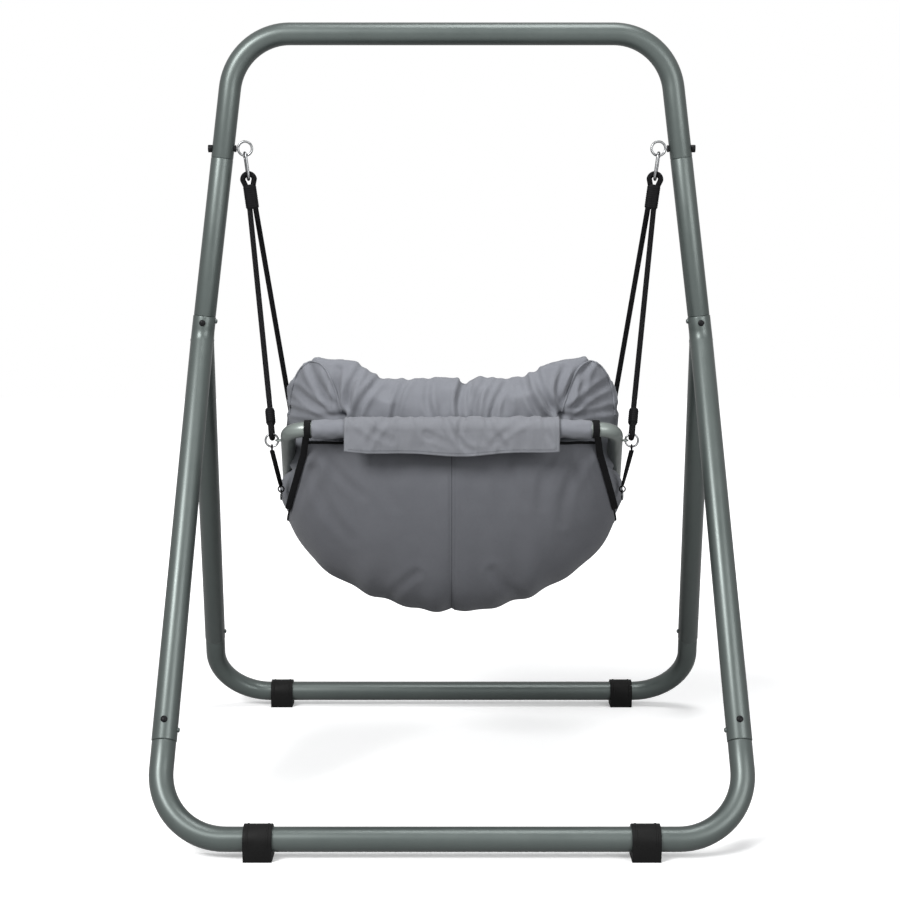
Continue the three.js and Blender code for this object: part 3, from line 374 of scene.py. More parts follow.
def finer_copy(node: str, bevel: float, smooth: float = 34.0) -> Piece:
    """A merged copy of a plain node with its edges rounded over.

    Args:
        node: The node's name.
        bevel: How far the rounding reaches from an edge, in millimetres.
        smooth: The sharpest angle that is still shaded smooth.

    Returns:
        The piece, which stands for the node.
    """
    bm = bmesh.new()
    bm.from_mesh(bpy.data.objects[node].data)
    bmesh.ops.remove_doubles(bm, verts=bm.verts[:], dist=MERGE_REACH)
    bmesh.ops.dissolve_limit(
        bm, angle_limit=math.radians(FLAT_DEGREES), verts=bm.verts[:], edges=bm.edges[:], delimit=set()
    )
    bmesh.ops.recalc_face_normals(bm, faces=bm.faces[:])
    limit = math.radians(EDGE_DEGREES)
    sharp = [e for e in bm.edges if len(e.link_faces) == 2 and e.calc_face_angle(0) > limit]
    if sharp:
        bmesh.ops.bevel(
            bm,
            geom=sharp,
            offset=bevel * MM,
            offset_type="OFFSET",
            affect="EDGES",
            segments=BEVEL_STEPS,
            profile=0.5,
            material=-1,
            clamp_overlap=True,
        )
    piece = mesh_object(node + "_finish", bm, smooth)
    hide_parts(node)
    return piece


def cloth_grid(name: str, front: list[list[Vector]], back: list[list[Vector]]) -> Piece:
    """A closed soft piece between two grids of points.

    Args:
        name: The piece's name.
        front: The rows of points of one face, in millimetres.
        back: The rows of points of the other face.

    Returns:
        The piece, with a UV map in metres over its face.
    """
    bm = bmesh.new()
    uv = bm.loops.layers.uv.new("cloth")
    rows, columns = len(front), len(front[0])
    sheets = [[[bm.verts.new(p * MM) for p in row] for row in grid] for grid in (front, back)]
    across = [[0.0] * columns for _ in range(rows)]
    down = [[0.0] * columns for _ in range(rows)]
    middle = columns // 2
    for i in range(rows):
        for j in range(middle + 1, columns):
            across[i][j] = across[i][j - 1] + (front[i][j] - front[i][j - 1]).length * MM
        for j in range(middle - 1, -1, -1):
            across[i][j] = across[i][j + 1] - (front[i][j + 1] - front[i][j]).length * MM
        for j in range(columns):
            if i:
                down[i][j] = down[i - 1][j] + (front[i][j] - front[i - 1][j]).length * MM

    def quad(verts: list[bmesh.types.BMVert], spots: list[tuple[int, int]]) -> None:
        """Adds one face, with its places on the cloth, where its corners differ.

        Args:
            verts: The four corners.
            spots: The row and column of each corner.
        """
        if len({id(v) for v in verts}) < 4:
            return
        face = bm.faces.new(verts)
        for loop, (i, j) in zip(face.loops, spots):
            loop[uv].uv = (across[i][j], down[i][j])

    for s, sheet in enumerate(sheets):
        for i in range(rows - 1):
            for j in range(columns - 1):
                spots = [(i, j), (i, j + 1), (i + 1, j + 1), (i + 1, j)]
                if s:
                    spots.reverse()
                quad([sheet[a][b] for a, b in spots], spots)
    edge = [(0, j) for j in range(columns)] + [(i, columns - 1) for i in range(1, rows)]
    edge += [(rows - 1, j) for j in range(columns - 2, -1, -1)] + [(i, 0) for i in range(rows - 2, 0, -1)]
    near, far = sheets
    for a, b in zip(edge, edge[1:] + edge[:1]):
        quad([near[b[0]][b[1]], near[a[0]][a[1]], far[a[0]][a[1]], far[b[0]][b[1]]], [b, a, a, b])
    bmesh.ops.remove_doubles(bm, verts=bm.verts[:], dist=1e-5)
    bmesh.ops.recalc_face_normals(bm, faces=bm.faces[:])
    return mesh_object(name, bm, 180.0)


def strap_band(
    name: str, points: list[Vector], ways: list[Vector], width: float, thick: float
) -> Piece:
    """A flat woven strap along a chain of points.

    Args:
        name: The piece's name.
        points: The strap's middle line, in millimetres.
        ways: The direction of the strap's width at each point.
        width: The strap's width.
        thick: The strap's thickness.

    Returns:
        The piece.
    """
    grids: list[list[list[Vector]]] = []
    highs = [thick / 2 * (STRAP_EDGE_SHARE if abs(share) == 1 else 1) for share in STRAP_SHARES]
    for face in (-1, 1):
        grid = []
        for i, here in enumerate(points):
            along = towards(points[max(i - 1, 0)], points[min(i + 1, len(points) - 1)])
            wide = square_to(ways[i], along)
            up = along.cross(wide).normalized()
            grid.append([
                here + wide * (share * width / 2) + up * (face * high)
                for share, high in zip(STRAP_SHARES, highs)
            ])
        grids.append(grid)
    return cloth_grid(name, grids[0], grids[1])


def stitch_row(name: str, path: list[Vector], pitch: float, radius: float) -> Piece:
    """A row of short raised stitches along a path on cloth.

    Args:
        name: The piece's name.
        path: The path, close to the cloth, in millimetres.
        pitch: The distance from one stitch to the next.
        radius: The thread's radius.

    Returns:
        One piece that holds every stitch.
    """
    bm = bmesh.new()
    run, due = 0.0, pitch / 2
    for a, b in zip(path, path[1:]):
        reach = (b - a).length
        while reach and run + reach >= due:
            here = between(a, b, (due - run) / reach)
            turn = towards(a, b).to_track_quat("Z", "Y").to_matrix().to_4x4()
            turn.translation = here * MM
            thread = radius * MM
            size = Matrix.Diagonal((thread, thread * STITCH_FLAT_SHARE, pitch * STITCH_LONG_SHARE * MM, 1))
            bmesh.ops.create_icosphere(bm, subdivisions=1, radius=1.0, matrix=turn @ size)
            due += pitch
        run += reach
    return mesh_object(name, bm, 180.0)


def applied(piece: Piece, modifier: bpy.types.Modifier) -> None:
    """Applies a modifier to a piece's mesh."""
    with bpy.context.temp_override(object=piece, active_object=piece, selected_objects=[piece]):
        bpy.ops.object.modifier_apply(modifier=modifier.name)


def plumped(piece: Piece, voxel: float, pressure: float, cap: float) -> None:
    """Swells a closed soft piece with a short cloth simulation and applies it.

    Args:
        piece: The piece, whose mesh is changed.
        voxel: The size of the even mesh that the simulation uses, in metres.
        pressure: The pressure inside.
        cap: The furthest that a point may move, in metres.
    """
    remesh = piece.modifiers.new("even", "REMESH")
    remesh.mode = "VOXEL"
    remesh.voxel_size = voxel
    remesh.adaptivity = 0.0
    applied(piece, remesh)
    start = [v.co.copy() for v in piece.data.vertices]
    cloth = piece.modifiers.new("swell", "CLOTH")
    cloth.settings.use_pressure = True
    cloth.settings.uniform_pressure_force = pressure
    cloth.settings.effector_weights.gravity = 0
    cloth.settings.quality = 4
    cloth.settings.tension_stiffness = CLOTH_STIFFNESS
    cloth.settings.compression_stiffness = CLOTH_STIFFNESS
    cloth.settings.bending_stiffness = 0.3
    cloth.collision_settings.use_collision = False
    cloth.point_cache.frame_start = 1
    cloth.point_cache.frame_end = SWELL_FRAMES
    scene = bpy.context.scene
    for frame in range(1, SWELL_FRAMES + 1):
        scene.frame_set(frame)
    bpy.context.view_layer.update()
    swollen = piece.evaluated_get(bpy.context.evaluated_depsgraph_get())
    moved = [v.co.copy() for v in swollen.data.vertices]
    piece.modifiers.remove(cloth)
    scene.frame_set(1)
    for vertex, was, now in zip(piece.data.vertices, start, moved):
        step = now - was
        if step.length > cap:
            step *= cap / step.length
        vertex.co = was + step
    piece.data.shade_smooth()


def displaced(piece: Piece, height: Callable[[Vector, Vector], float]) -> None:
    """Moves each point of a piece along its normal.

    Args:
        piece: The piece.
        height: Gives the move in millimetres from a point, in millimetres, and its normal.
    """
    mesh = piece.data
    normals = [v.normal.copy() for v in mesh.vertices]
    for vertex, normal in zip(mesh.vertices, normals):
        vertex.co = vertex.co + normal * (height(vertex.co / MM, normal) * MM)
    mesh.update()


@dataclass(frozen=True)
class Crease:
    """A fold line in cloth, between two places on its face, in millimetres."""

    start: tuple[float, float]
    end: tuple[float, float]
    depth: float = 3.0
    width: float = 6.0

    def at(self, across: float, up: float) -> float:
        """How far the cloth moves out at a place near this fold.

        Args:
            across: The place across the cloth.
            up: The place up the cloth.

        Returns:
            The move: inwards in the fold and outwards beside it.
        """
        ax, ay = self.start
        bx, by = self.end
        run_x, run_y = bx - ax, by - ay
        reach = run_x * run_x + run_y * run_y
        share = min(1.0, max(0.0, ((across - ax) * run_x + (up - ay) * run_y) / reach))
        bow = CREASE_BOW_SHARE * math.sqrt(reach) * math.sin(math.pi * share)
        far = math.hypot(across - ax - share * run_x + bow, up - ay - share * run_y) / self.width
        if far > CREASE_REACH:
            return 0.0
        fade = 0.35 + 0.65 * math.sin(math.pi * min(1.0, 0.25 + share * 0.75))
        return self.depth * fade * (0.75 * math.exp(-((far - 1.6) ** 2) * 1.5) - math.exp(-far * far))


def laid_on(piece: Piece, path: list[Vector], lift: float) -> list[Vector]:
    """Moves a path onto the rear skin of a piece, seen along Y.

    Args:
        piece: The piece that carries the path.
        path: The path, in millimetres.
        lift: How far the path stands off the skin.

    Returns:
        The path on the skin.
    """
    skin = piece.evaluated_get(bpy.context.evaluated_depsgraph_get())
    corners = [v.co for v in skin.data.vertices]
    tree = BVHTree.FromPolygons(corners, [p.vertices for p in skin.data.polygons])
    found = []
    for point in path:
        spot, normal, _, _ = tree.ray_cast(Vector((point.x, BEHIND_Y, point.z)) * MM, Vector((0, 1, 0)))
        if spot is not None:
            found.append((spot + normal * lift * MM) / MM)
    return found


# Shader groups and finishes


class Sheet:
    """A node tree with short calls to add and link its nodes."""

    def __init__(self, tree: bpy.types.NodeTree) -> None:
        """Keeps the tree and clears it."""
        self.tree = tree
        tree.nodes.clear()

    def add(self, kind: str, settings: dict | None = None, **values: object) -> Node:
        """Adds a node.

        Args:
            kind: The node's type without its prefix.
            settings: Attributes of the node.
            values: Input values, by name with underscores for spaces.

        Returns:
            The node.
        """
        node = self.tree.nodes.new(kind)
        for name, value in (settings or {}).items():
            setattr(node, name, value)
        for name, value in values.items():
            node.inputs[name.replace("_", " ")].default_value = value
        return node

    def link(self, source: Socket, target: Socket) -> None:
        """Links two sockets."""
        self.tree.links.new(source, target)

    def math(self, kind: str, a: object, b: object = 0.0) -> Socket:
        """A math node on two values or sockets, and its output.

        Args:
            kind: The operation.
            a: The first value or socket.
            b: The second one.

        Returns:
            The output socket.
        """
        node = self.add("ShaderNodeMath", {"operation": kind})
        for socket, value in zip(node.inputs, (a, b)):
            if isinstance(value, Socket):
                self.link(value, socket)
            else:
                socket.default_value = value
        return node.outputs[0]


def node_group(
    name: str,
    inputs: dict[str, float],
    outputs: list[str],
    fill: Callable[[Sheet, Node, Node], None],
) -> bpy.types.NodeTree:
    """A shader node group, built once and found again by its name.

    Args:
        name: The group's name.
        inputs: The name and first value of each input after the vector.
        outputs: The name of each value that it gives.
        fill: Adds the nodes between the group's input and output.

    Returns:
        The group.
    """
    found = bpy.data.node_groups.get(name)
    if found:
        return found
    tree = bpy.data.node_groups.new(name, "ShaderNodeTree")
    tree.interface.new_socket(name="Vector", in_out="INPUT", socket_type="NodeSocketVector")
    for label, value in inputs.items():
        socket = tree.interface.new_socket(name=label, in_out="INPUT", socket_type="NodeSocketFloat")
        socket.default_value = value
    for label in outputs:
        tree.interface.new_socket(name=label, in_out="OUTPUT", socket_type="NodeSocketFloat")
    sheet = Sheet(tree)
    entry = sheet.add("NodeGroupInput")
    end = sheet.add("NodeGroupOutput")
    fill(sheet, entry, end)
    return tree


def mottle_group() -> bpy.types.NodeTree:
    """Slow, soft variation of tone over a surface."""

    def fill(sheet: Sheet, entry: Node, end: Node) -> None:
        """Two sizes of noise, mixed.

        Args:
            sheet: The tree.
            entry: The group's input.
            end: The group's output.
        """
        broad = sheet.add("ShaderNodeTexNoise", Detail=3.0, Roughness=0.55)
        close = sheet.add("ShaderNodeTexNoise", Detail=4.0, Roughness=0.6)
        for noise_node, times in ((broad, 1.0), (close, 6.5)):
            sheet.link(entry.outputs["Vector"], noise_node.inputs["Vector"])
            sheet.link(sheet.math("MULTIPLY", entry.outputs["Scale"], times), noise_node.inputs["Scale"])
        mixed = sheet.math("ADD", sheet.math("MULTIPLY", broad.outputs["Fac"], 0.65),
                           sheet.math("MULTIPLY", close.outputs["Fac"], 0.35))
        ramp = sheet.add("ShaderNodeMapRange", From_Min=0.35, From_Max=0.65)
        sheet.link(mixed, ramp.inputs["Value"])
        sheet.link(ramp.outputs["Result"], end.inputs["Shade"])

    return node_group("soft_mottle", {"Scale": 6.0}, ["Shade"], fill)


def grain_group() -> bpy.types.NodeTree:
    """Fine grain of a powder coat or of moulded rubber."""

    def fill(sheet: Sheet, entry: Node, end: Node) -> None:
        """Small cells softened by noise.

        Args:
            sheet: The tree.
            entry: The group's input.
            end: The group's output.
        """
        cells = sheet.add("ShaderNodeTexVoronoi", {"feature": "SMOOTH_F1"}, Smoothness=0.7)
        fine = sheet.add("ShaderNodeTexNoise", Detail=2.0)
        for texture in (cells, fine):
            sheet.link(entry.outputs["Vector"], texture.inputs["Vector"])
            sheet.link(entry.outputs["Scale"], texture.inputs["Scale"])
        mixed = sheet.math("ADD", sheet.math("MULTIPLY", cells.outputs["Distance"], 0.6),
                           sheet.math("MULTIPLY", fine.outputs["Fac"], 0.4))
        sheet.link(mixed, end.inputs["Height"])
        sheet.link(fine.outputs["Fac"], end.inputs["Shade"])

    return node_group("fine_grain", {"Scale": 900.0}, ["Height", "Shade"], fill)


def weave_group() -> bpy.types.NodeTree:
    """Plain weave: threads that pass over and under each other."""

    def fill(sheet: Sheet, entry: Node, end: Node) -> None:
        """Waves along three directions and a little slub.

        Args:
            sheet: The tree.
            entry: The group's input.
            end: The group's output.
        """
        split = sheet.add("ShaderNodeSeparateXYZ")
        wobble = sheet.add("ShaderNodeTexNoise", Scale=220.0, Detail=2.0)
        sheet.link(entry.outputs["Vector"], wobble.inputs["Vector"])
        sheet.link(entry.outputs["Vector"], split.inputs["Vector"])
        slub = sheet.math("MULTIPLY", wobble.outputs["Fac"], 1.6)
        waves = []
        for axis in range(3):
            turn = sheet.math("MULTIPLY", split.outputs[axis], entry.outputs["Threads"])
            phase = sheet.math("ADD", sheet.math("MULTIPLY", turn, math.tau), slub)
            waves.append(sheet.math("SINE", phase))
        crossed = sheet.math("ADD", sheet.math("MULTIPLY", waves[0], waves[2]),
                             sheet.math("MULTIPLY", waves[1], sheet.math("ADD", waves[0], waves[2])))
        raised = sheet.add("ShaderNodeMapRange", From_Min=-1.4, From_Max=1.4)
        sheet.link(crossed, raised.inputs["Value"])
        sheet.link(raised.outputs["Result"], end.inputs["Height"])
        # Painted shade: half of the colour follows the thread height, so the hollows between threads are
        # painted darker; the other half is random slub tone.
        tone = sheet.math("ADD", sheet.math("MULTIPLY", raised.outputs["Result"], 0.5),
                          sheet.math("MULTIPLY", wobble.outputs["Fac"], 0.5))
        sheet.link(tone, end.inputs["Shade"])

    return node_group("plain_weave", {"Threads": 1400.0}, ["Height", "Shade"], fill)


def braid_group() -> bpy.types.NodeTree:
    """Braided strands that wind both ways round a rope, from its UV map."""

    def fill(sheet: Sheet, entry: Node, end: Node) -> None:
        """Two crossing families of slanted waves.

        Args:
            sheet: The tree.
            entry: The group's input.
            end: The group's output.
        """
        split = sheet.add("ShaderNodeSeparateXYZ")
        sheet.link(entry.outputs["Vector"], split.inputs["Vector"])
        around = sheet.math("MULTIPLY", split.outputs["X"], entry.outputs["Strands"])
        along = sheet.math("MULTIPLY", split.outputs["Y"], entry.outputs["Pitch"])
        left = sheet.math("SINE", sheet.math("MULTIPLY", sheet.math("ADD", around, along), math.tau))
        right = sheet.math("SINE", sheet.math("MULTIPLY", sheet.math("SUBTRACT", around, along), math.tau))
        top = sheet.math("MAXIMUM", left, right)
        raised = sheet.add("ShaderNodeMapRange", From_Min=-0.6, From_Max=1.0)
        sheet.link(top, raised.inputs["Value"])
        sheet.link(raised.outputs["Result"], end.inputs["Height"])
        # Painted shade: the strand height also sets the colour, so the grooves between strands are painted
        # darker and the crowns lighter.
        sheet.link(raised.outputs["Result"], end.inputs["Shade"])

    return node_group("rope_braid", {"Strands": 6.0, "Pitch": 150.0}, ["Height", "Shade"], fill)


class Spots(Enum):
    """Where a finish takes its pattern from."""

    OBJECT = "Object"
    UV = "UV"


@dataclass(frozen=True)
class Finish:
    """A coloured surface with its own fine pattern.

    Colours are linear red, green and blue.
    """

    name: str
    slot: Slot
    dark: tuple[float, float, float]
    light: tuple[float, float, float]
    roughness: tuple[float, float]
    pattern: Callable[[], bpy.types.NodeTree]
    scale: float
    bump: float
    distance: float
    metallic: float = 0.0
    specular: float = 0.5
    sheen: float = 0.0
    coat: float = 0.0
    spots: Spots = Spots.OBJECT
    mottle: float = 5.0
    pitch: float | None = None
    # Painted shade: how strongly the colour darkens towards edges that turn away from the view.
    turned: float = 0.0

    def build(self) -> bpy.types.Material:
        """Makes the material, or finds it again.

        Returns:
            The material.
        """
        found = bpy.data.materials.get(self.name)
        if found:
            return found
        material = bpy.data.materials.new(self.name)
        material.use_nodes = True
        sheet = Sheet(material.node_tree)
        out = sheet.add("ShaderNodeOutputMaterial")
        shader = sheet.add("ShaderNodeBsdfPrincipled", Metallic=self.metallic)
        shader.inputs["Specular IOR Level"].default_value = self.specular
        shader.inputs["Sheen Weight"].default_value = self.sheen
        shader.inputs["Sheen Roughness"].default_value = SHEEN_ROUGHNESS
        shader.inputs["Coat Weight"].default_value = self.coat
        shader.inputs["Coat Roughness"].default_value = COAT_ROUGHNESS
        sheet.link(shader.outputs["BSDF"], out.inputs["Surface"])
        place = sheet.add("ShaderNodeTexCoord")
        fine = sheet.add("ShaderNodeGroup", {"node_tree": self.pattern()})
        broad = sheet.add("ShaderNodeGroup", {"node_tree": mottle_group()})
        sheet.link(place.outputs[self.spots.value], fine.inputs["Vector"])
        sheet.link(place.outputs["Object"], broad.inputs["Vector"])
        fine.inputs[1].default_value = self.scale
        if self.pitch is not None:
            fine.inputs["Pitch"].default_value = self.pitch
        broad.inputs["Scale"].default_value = self.mottle
        # The fine pattern's Shade is painted shade in the hollows for the weave and the braid, and random
        # tone for the grain; the mottle adds random tone.
        tone = sheet.math("ADD", sheet.math("MULTIPLY", fine.outputs["Shade"], 0.5),
                          sheet.math("MULTIPLY", broad.outputs["Shade"], 0.5))
        colour = sheet.add("ShaderNodeMix", {"data_type": "RGBA"})
        colour.inputs["A"].default_value = (*self.dark, 1.0)
        colour.inputs["B"].default_value = (*self.light, 1.0)
        sheet.link(tone, colour.inputs["Factor"])
        shown = colour.outputs["Result"]
        # Painted shade: a Layer Weight darkens the colour where the surface turns away from the view, so
        # tubes, rings and wire get dark edges.
        if self.turned:
            weight = sheet.add("ShaderNodeLayerWeight", Blend=EDGE_SHADE_BLEND)
            shade = sheet.add("ShaderNodeMix", {"data_type": "RGBA", "blend_type": "MULTIPLY"})
            share = sheet.math("MULTIPLY", weight.outputs["Facing"], self.turned)
            sheet.link(share, shade.inputs["Factor"])
            sheet.link(shown, shade.inputs["A"])
            shade.inputs["B"].default_value = EDGE_SHADE_TONE
            shown = shade.outputs["Result"]
        sheet.link(shown, shader.inputs["Base Color"])
        gloss = sheet.add("ShaderNodeMapRange", To_Min=self.roughness[0], To_Max=self.roughness[1])
        sheet.link(broad.outputs["Shade"], gloss.inputs["Value"])
        sheet.link(gloss.outputs["Result"], shader.inputs["Roughness"])
        bump = sheet.add("ShaderNodeBump", Strength=self.bump, Distance=self.distance)
        sheet.link(fine.outputs["Height"], bump.inputs["Height"])
        sheet.link(bump.outputs["Normal"], shader.inputs["Normal"])
        return material

    def dress(self, piece: Piece, body: str, *nodes: str) -> Piece:
        """Gives a piece this finish, its body and the plain nodes that it stands for.

        Args:
            piece: The piece.
            body: The name of the moving body that it rides on.
            nodes: The names of the plain nodes, or none.

        Returns:
            The piece.
        """
        piece.data.materials.clear()
        piece.data.materials.append(self.build())
        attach(piece, body)
        if nodes:
            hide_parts(*nodes)
        return piece


STAND_COAT = Finish("grey_green_powder_coat", Slot.STAND_STEEL, (0.082, 0.1, 0.095), (0.106, 0.126, 0.12),
                    (0.34, 0.42), grain_group, 1100.0, 0.1, 0.0002, metallic=0.4, coat=0.06, turned=0.85)
SEAT_COAT = Finish("light_grey_powder_coat", Slot.SEAT_STEEL, (0.2, 0.23, 0.216), (0.245, 0.275, 0.26),
                   (0.3, 0.4), grain_group, 1100.0, 0.1, 0.0002, metallic=0.25, coat=0.1, turned=0.75)
ZINC = Finish("bright_zinc_plate", Slot.BRIGHT_STEEL, (0.2, 0.205, 0.21), (0.34, 0.345, 0.35),
              (0.22, 0.34), grain_group, 160.0, 0.02, 0.0002, metallic=1.0, mottle=60.0, turned=1.0)
BLACK_OXIDE = Finish("black_oxide_steel", Slot.BLACK_STEEL, (0.006, 0.006, 0.007), (0.012, 0.012, 0.013),
                     (0.32, 0.45), grain_group, 900.0, 0.1, 0.0002, specular=0.1, mottle=80.0)
RUBBER = Finish("black_rubber", Slot.RUBBER, (0.004, 0.004, 0.004), (0.01, 0.01, 0.01),
                (0.5, 0.66), grain_group, 600.0, 0.25, 0.0004, specular=0.12, mottle=30.0)
# The rope's colour carries painted shade in the grooves of its braid.
ROPE = Finish("black_braided_rope", Slot.ROPE, (0.002, 0.002, 0.0025), (0.013, 0.013, 0.014),
              (0.7, 0.85), braid_group, 5.0, 0.9, 0.0011, specular=0.05, sheen=0.01, spots=Spots.UV,
              pitch=130.0)
SLEEVE = Finish("black_rope_sleeve", Slot.ROPE, (0.003, 0.003, 0.0035), (0.009, 0.009, 0.01),
                (0.5, 0.65), grain_group, 420.0, 0.3, 0.0006, specular=0.08, mottle=60.0)
WEBBING = Finish("black_webbing", Slot.WEBBING, (0.003, 0.003, 0.0035), (0.014, 0.014, 0.015),
                 (0.75, 0.88), weave_group, 700.0, 0.6, 0.0006, specular=0.06, sheen=0.01, mottle=20.0)
CANVAS = Finish("mid_grey_canvas", Slot.CANVAS, (0.11, 0.114, 0.128), (0.144, 0.148, 0.163),
                (0.86, 0.94), weave_group, 900.0, 0.35, 0.0004, specular=0.2, sheen=0.12)
CUSHION = Finish("cool_grey_cushion_cloth", Slot.CUSHION_CLOTH, (0.155, 0.162, 0.182), (0.2, 0.207, 0.227),
                 (0.86, 0.94), weave_group, 1000.0, 0.35, 0.0004, specular=0.2, sheen=0.12)
FLAP = Finish("light_grey_flap_cloth", Slot.FLAP_CLOTH, (0.156, 0.162, 0.178), (0.196, 0.202, 0.22),
              (0.86, 0.94), weave_group, 1000.0, 0.35, 0.0004, specular=0.2, sheen=0.12)


# Stand


@dataclass
class Stand:
    """The open stand of bent round tubes with its screws, buttons and foot pads."""

    tube: float = 38.0
    leg: float = 39.6
    bend: float = 105.0
    fork_bend: float = 55.0
    top_height: float = 1297.0
    top_joint: float = 1086.0
    fork_joint: float = 815.0
    fork_vertex: float = 778.0
    leg_joint: float = 160.0
    base_height: float = 30.0
    base_depth: float = 442.0
    top_half: float = 370.0
    fork_half: float = 436.0
    rear_base_half: float = 453.0
    front_base_half: float = 485.0
    eye_height: float = 1103.0
    eye_inset: float = 37.5
    eye_radius: float = 12.0
    eye_wire: float = 4.2
    bolt: float = 6.0
    bolt_tail: float = 3.0
    bolt_gap: float = 0.4
    bolt_plain: float = 5.0
    thread_depth: float = 0.28
    bolt_point: float = 0.9
    bolt_steps: int = 120
    end_roll: float = 0.7
    roll_reach: float = 1.2
    roll_places: tuple[float, ...] = (0.5, 1.3)
    tube_sides: int = 40
    bend_steps: int = 20
    fork_steps: int = 10
    legs_parted: int = 3
    weld_height: float = 400.0
    weld_steps: int = 32
    weld_radius: float = 1.3
    weld_ripple: float = 0.25
    screw_edge: float = 0.35
    nut_edge: float = 0.6
    button_edge: float = 0.3
    pad_edge: float = 1.4
    pad_smooth: float = 50.0
    pad_wall: float = 4.6
    lip_place: float = 15.5
    lip_radius: float = 1.5
    lip_flat: float = 0.55
    lip_start: float = -18.0
    lip_turn: float = 216.0
    lip_steps: int = 24

    def vertex(self, hand: Hand) -> Vector:
        """Where the pole's line meets the two legs' lines."""
        return Vector((hand.sign * self.fork_half, 0, self.fork_vertex))

    def on_pole(self, hand: Hand, height: float) -> Vector:
        """A point of the pole's centre line at a height."""
        top = Vector((hand.sign * self.top_half, 0, self.top_height))
        share = (height - self.fork_vertex) / (self.top_height - self.fork_vertex)
        return between(self.vertex(hand), top, share)

    def base_corner(self, hand: Hand, facing: Facing) -> Vector:
        """Where a leg's line meets the base bar's line."""
        half = self.rear_base_half if facing is Facing.REAR else self.front_base_half
        return Vector((hand.sign * half, facing.sign * self.base_depth, self.base_height))

    def on_leg(self, hand: Hand, facing: Facing, height: float) -> Vector:
        """A point of a leg's centre line at a height."""
        share = (height - self.fork_vertex) / (self.base_height - self.fork_vertex)
        return between(self.vertex(hand), self.base_corner(hand, facing), share)

    def rolled(self, run: float, total: float, radius: float) -> float:
        """The tube's radius near its cut ends, where the edge is rolled over a little."""
        near = min(run, total - run)
        return radius - self.end_roll * max(0.0, 1 - near / self.roll_reach) ** 2

    def build_tube(self, name: str, stations: list[Vector], diameter: float, node: str) -> None:
        """A coated tube with softly rolled ends.

        Args:
            name: The piece's name.
            stations: The tube's centre line.
            diameter: The tube's outside diameter.
            node: The plain node that it stands for.
        """
        first, last = towards(stations[0], stations[1]), towards(stations[-1], stations[-2])
        eased_in = [stations[0] + first * place for place in (0.0, *self.roll_places)]
        eased_out = [stations[-1] + last * place for place in (*self.roll_places[::-1], 0.0)]
        full = eased_in + stations[1:-1] + eased_out
        total = run_length(full)
        piece = swept(name, full, lambda run: self.rolled(run, total, diameter / 2), self.tube_sides)
        STAND_COAT.dress(piece, STAND, node)

    def build_rail(self) -> None:
        """The top rail, bent down at both ends."""
        left, right = Hand.LEFT, Hand.RIGHT
        corners = [
            self.on_pole(left, self.top_joint + GAP / 2),
            Vector((-self.top_half, 0, self.top_height)),
            Vector((self.top_half, 0, self.top_height)),
            self.on_pole(right, self.top_joint + GAP / 2),
        ]
        stations = BentRun(corners, [self.bend] * 2, self.bend_steps).stations
        self.build_tube("top_rail_tube", stations, self.tube, "top_rail")

    def build_side(self, hand: Hand) -> None:
        """One pole and its fork of two legs.

        Args:
            hand: The side.
        """
        pole = [self.on_pole(hand, self.fork_joint), self.on_pole(hand, self.top_joint)]
        self.build_tube(f"upper_pole_tube_{hand.label}", pole, self.tube, f"upper_pole_{hand.label}")
        top = self.on_pole(hand, self.fork_joint - GAP)
        for facing, first in ((Facing.REAR, 0), (Facing.FRONT, self.legs_parted)):
            corners = [top, self.vertex(hand), self.on_leg(hand, facing, self.leg_joint + GAP)]
            stations = BentRun(corners, [self.fork_bend], self.fork_steps).stations[first:]
            name = f"leg_fork_{facing.label}_{hand.label}"
            self.build_tube(name, stations, self.leg, f"leg_fork_{hand.label}")
        self.build_weld(hand)

    def build_weld(self, hand: Hand) -> None:
        """The weld bead where the front leg joins the rear one.

        Args:
            hand: The side.
        """
        centre = self.vertex(hand)
        rear, front = (towards(centre, self.on_leg(hand, facing, self.weld_height)) for facing in Facing)
        down = (rear + front).normalized()
        out = square_to(Vector((1, 0, 0)), down)
        lean = rear.angle(down)
        radius = self.leg / 2
        points = []
        for k in range(1, self.weld_steps):
            turn = math.pi * k / self.weld_steps
            low = radius * math.sin(turn) / math.sin(lean)
            points.append(centre + out * (radius * math.cos(turn)) + down * low)
        bead = swept(f"fork_weld_{hand.label}", points,
                     lambda run: self.weld_radius + self.weld_ripple * math.sin(run * 1.3), 10)
        STAND_COAT.dress(bead, STAND)

    def build_base(self, facing: Facing) -> None:
        """One wide base tube.

        Args:
            facing: The end of the stand.
        """
        left, right = Hand.LEFT, Hand.RIGHT
        corners = [
            self.on_leg(left, facing, self.leg_joint),
            self.base_corner(left, facing),
            self.base_corner(right, facing),
            self.on_leg(right, facing, self.leg_joint),
        ]
        stations = BentRun(corners, [self.bend] * 2, self.bend_steps).stations
        self.build_tube(f"{facing.label}_base_bar", stations, self.tube, f"{facing.label}_base_tube")

    def build_eye_bolt(self, hand: Hand) -> None:
        """One eye bolt with its shank through the tube and a thread on its end.

        Args:
            hand: The side.
        """
        way = Vector((hand.sign, 0, 0))
        at = self.on_pole(hand, self.eye_height)
        eye = at - way * self.eye_inset
        ring = wire_ring(f"eye_ring_{hand.label}", eye, Vector((0, 1, 0)), self.eye_radius, self.eye_wire)
        ZINC.dress(ring, STAND, f"eye_bolt_{hand.label}")
        start = eye + way * (self.eye_radius + self.bolt_gap)
        end = at + way * (self.tube / 2 + self.bolt_tail)
        path = [between(start, end, k / self.bolt_steps) for k in range(self.bolt_steps + 1)]
        total = (end - start).length

        def size(run: float) -> float:
            """The shank's radius, with its thread and its chamfered end."""
            thread = self.thread_depth * (0.5 + 0.5 * math.sin(run * math.tau))
            chamfer = self.bolt_point * max(0.0, 1 - (total - run))
            return self.bolt / 2 - (thread if run > self.bolt_plain else 0.0) - chamfer

        shank = swept(f"eye_shank_{hand.label}", path, size, 20)
        ZINC.dress(shank, STAND, f"eye_bolt_{hand.label}")

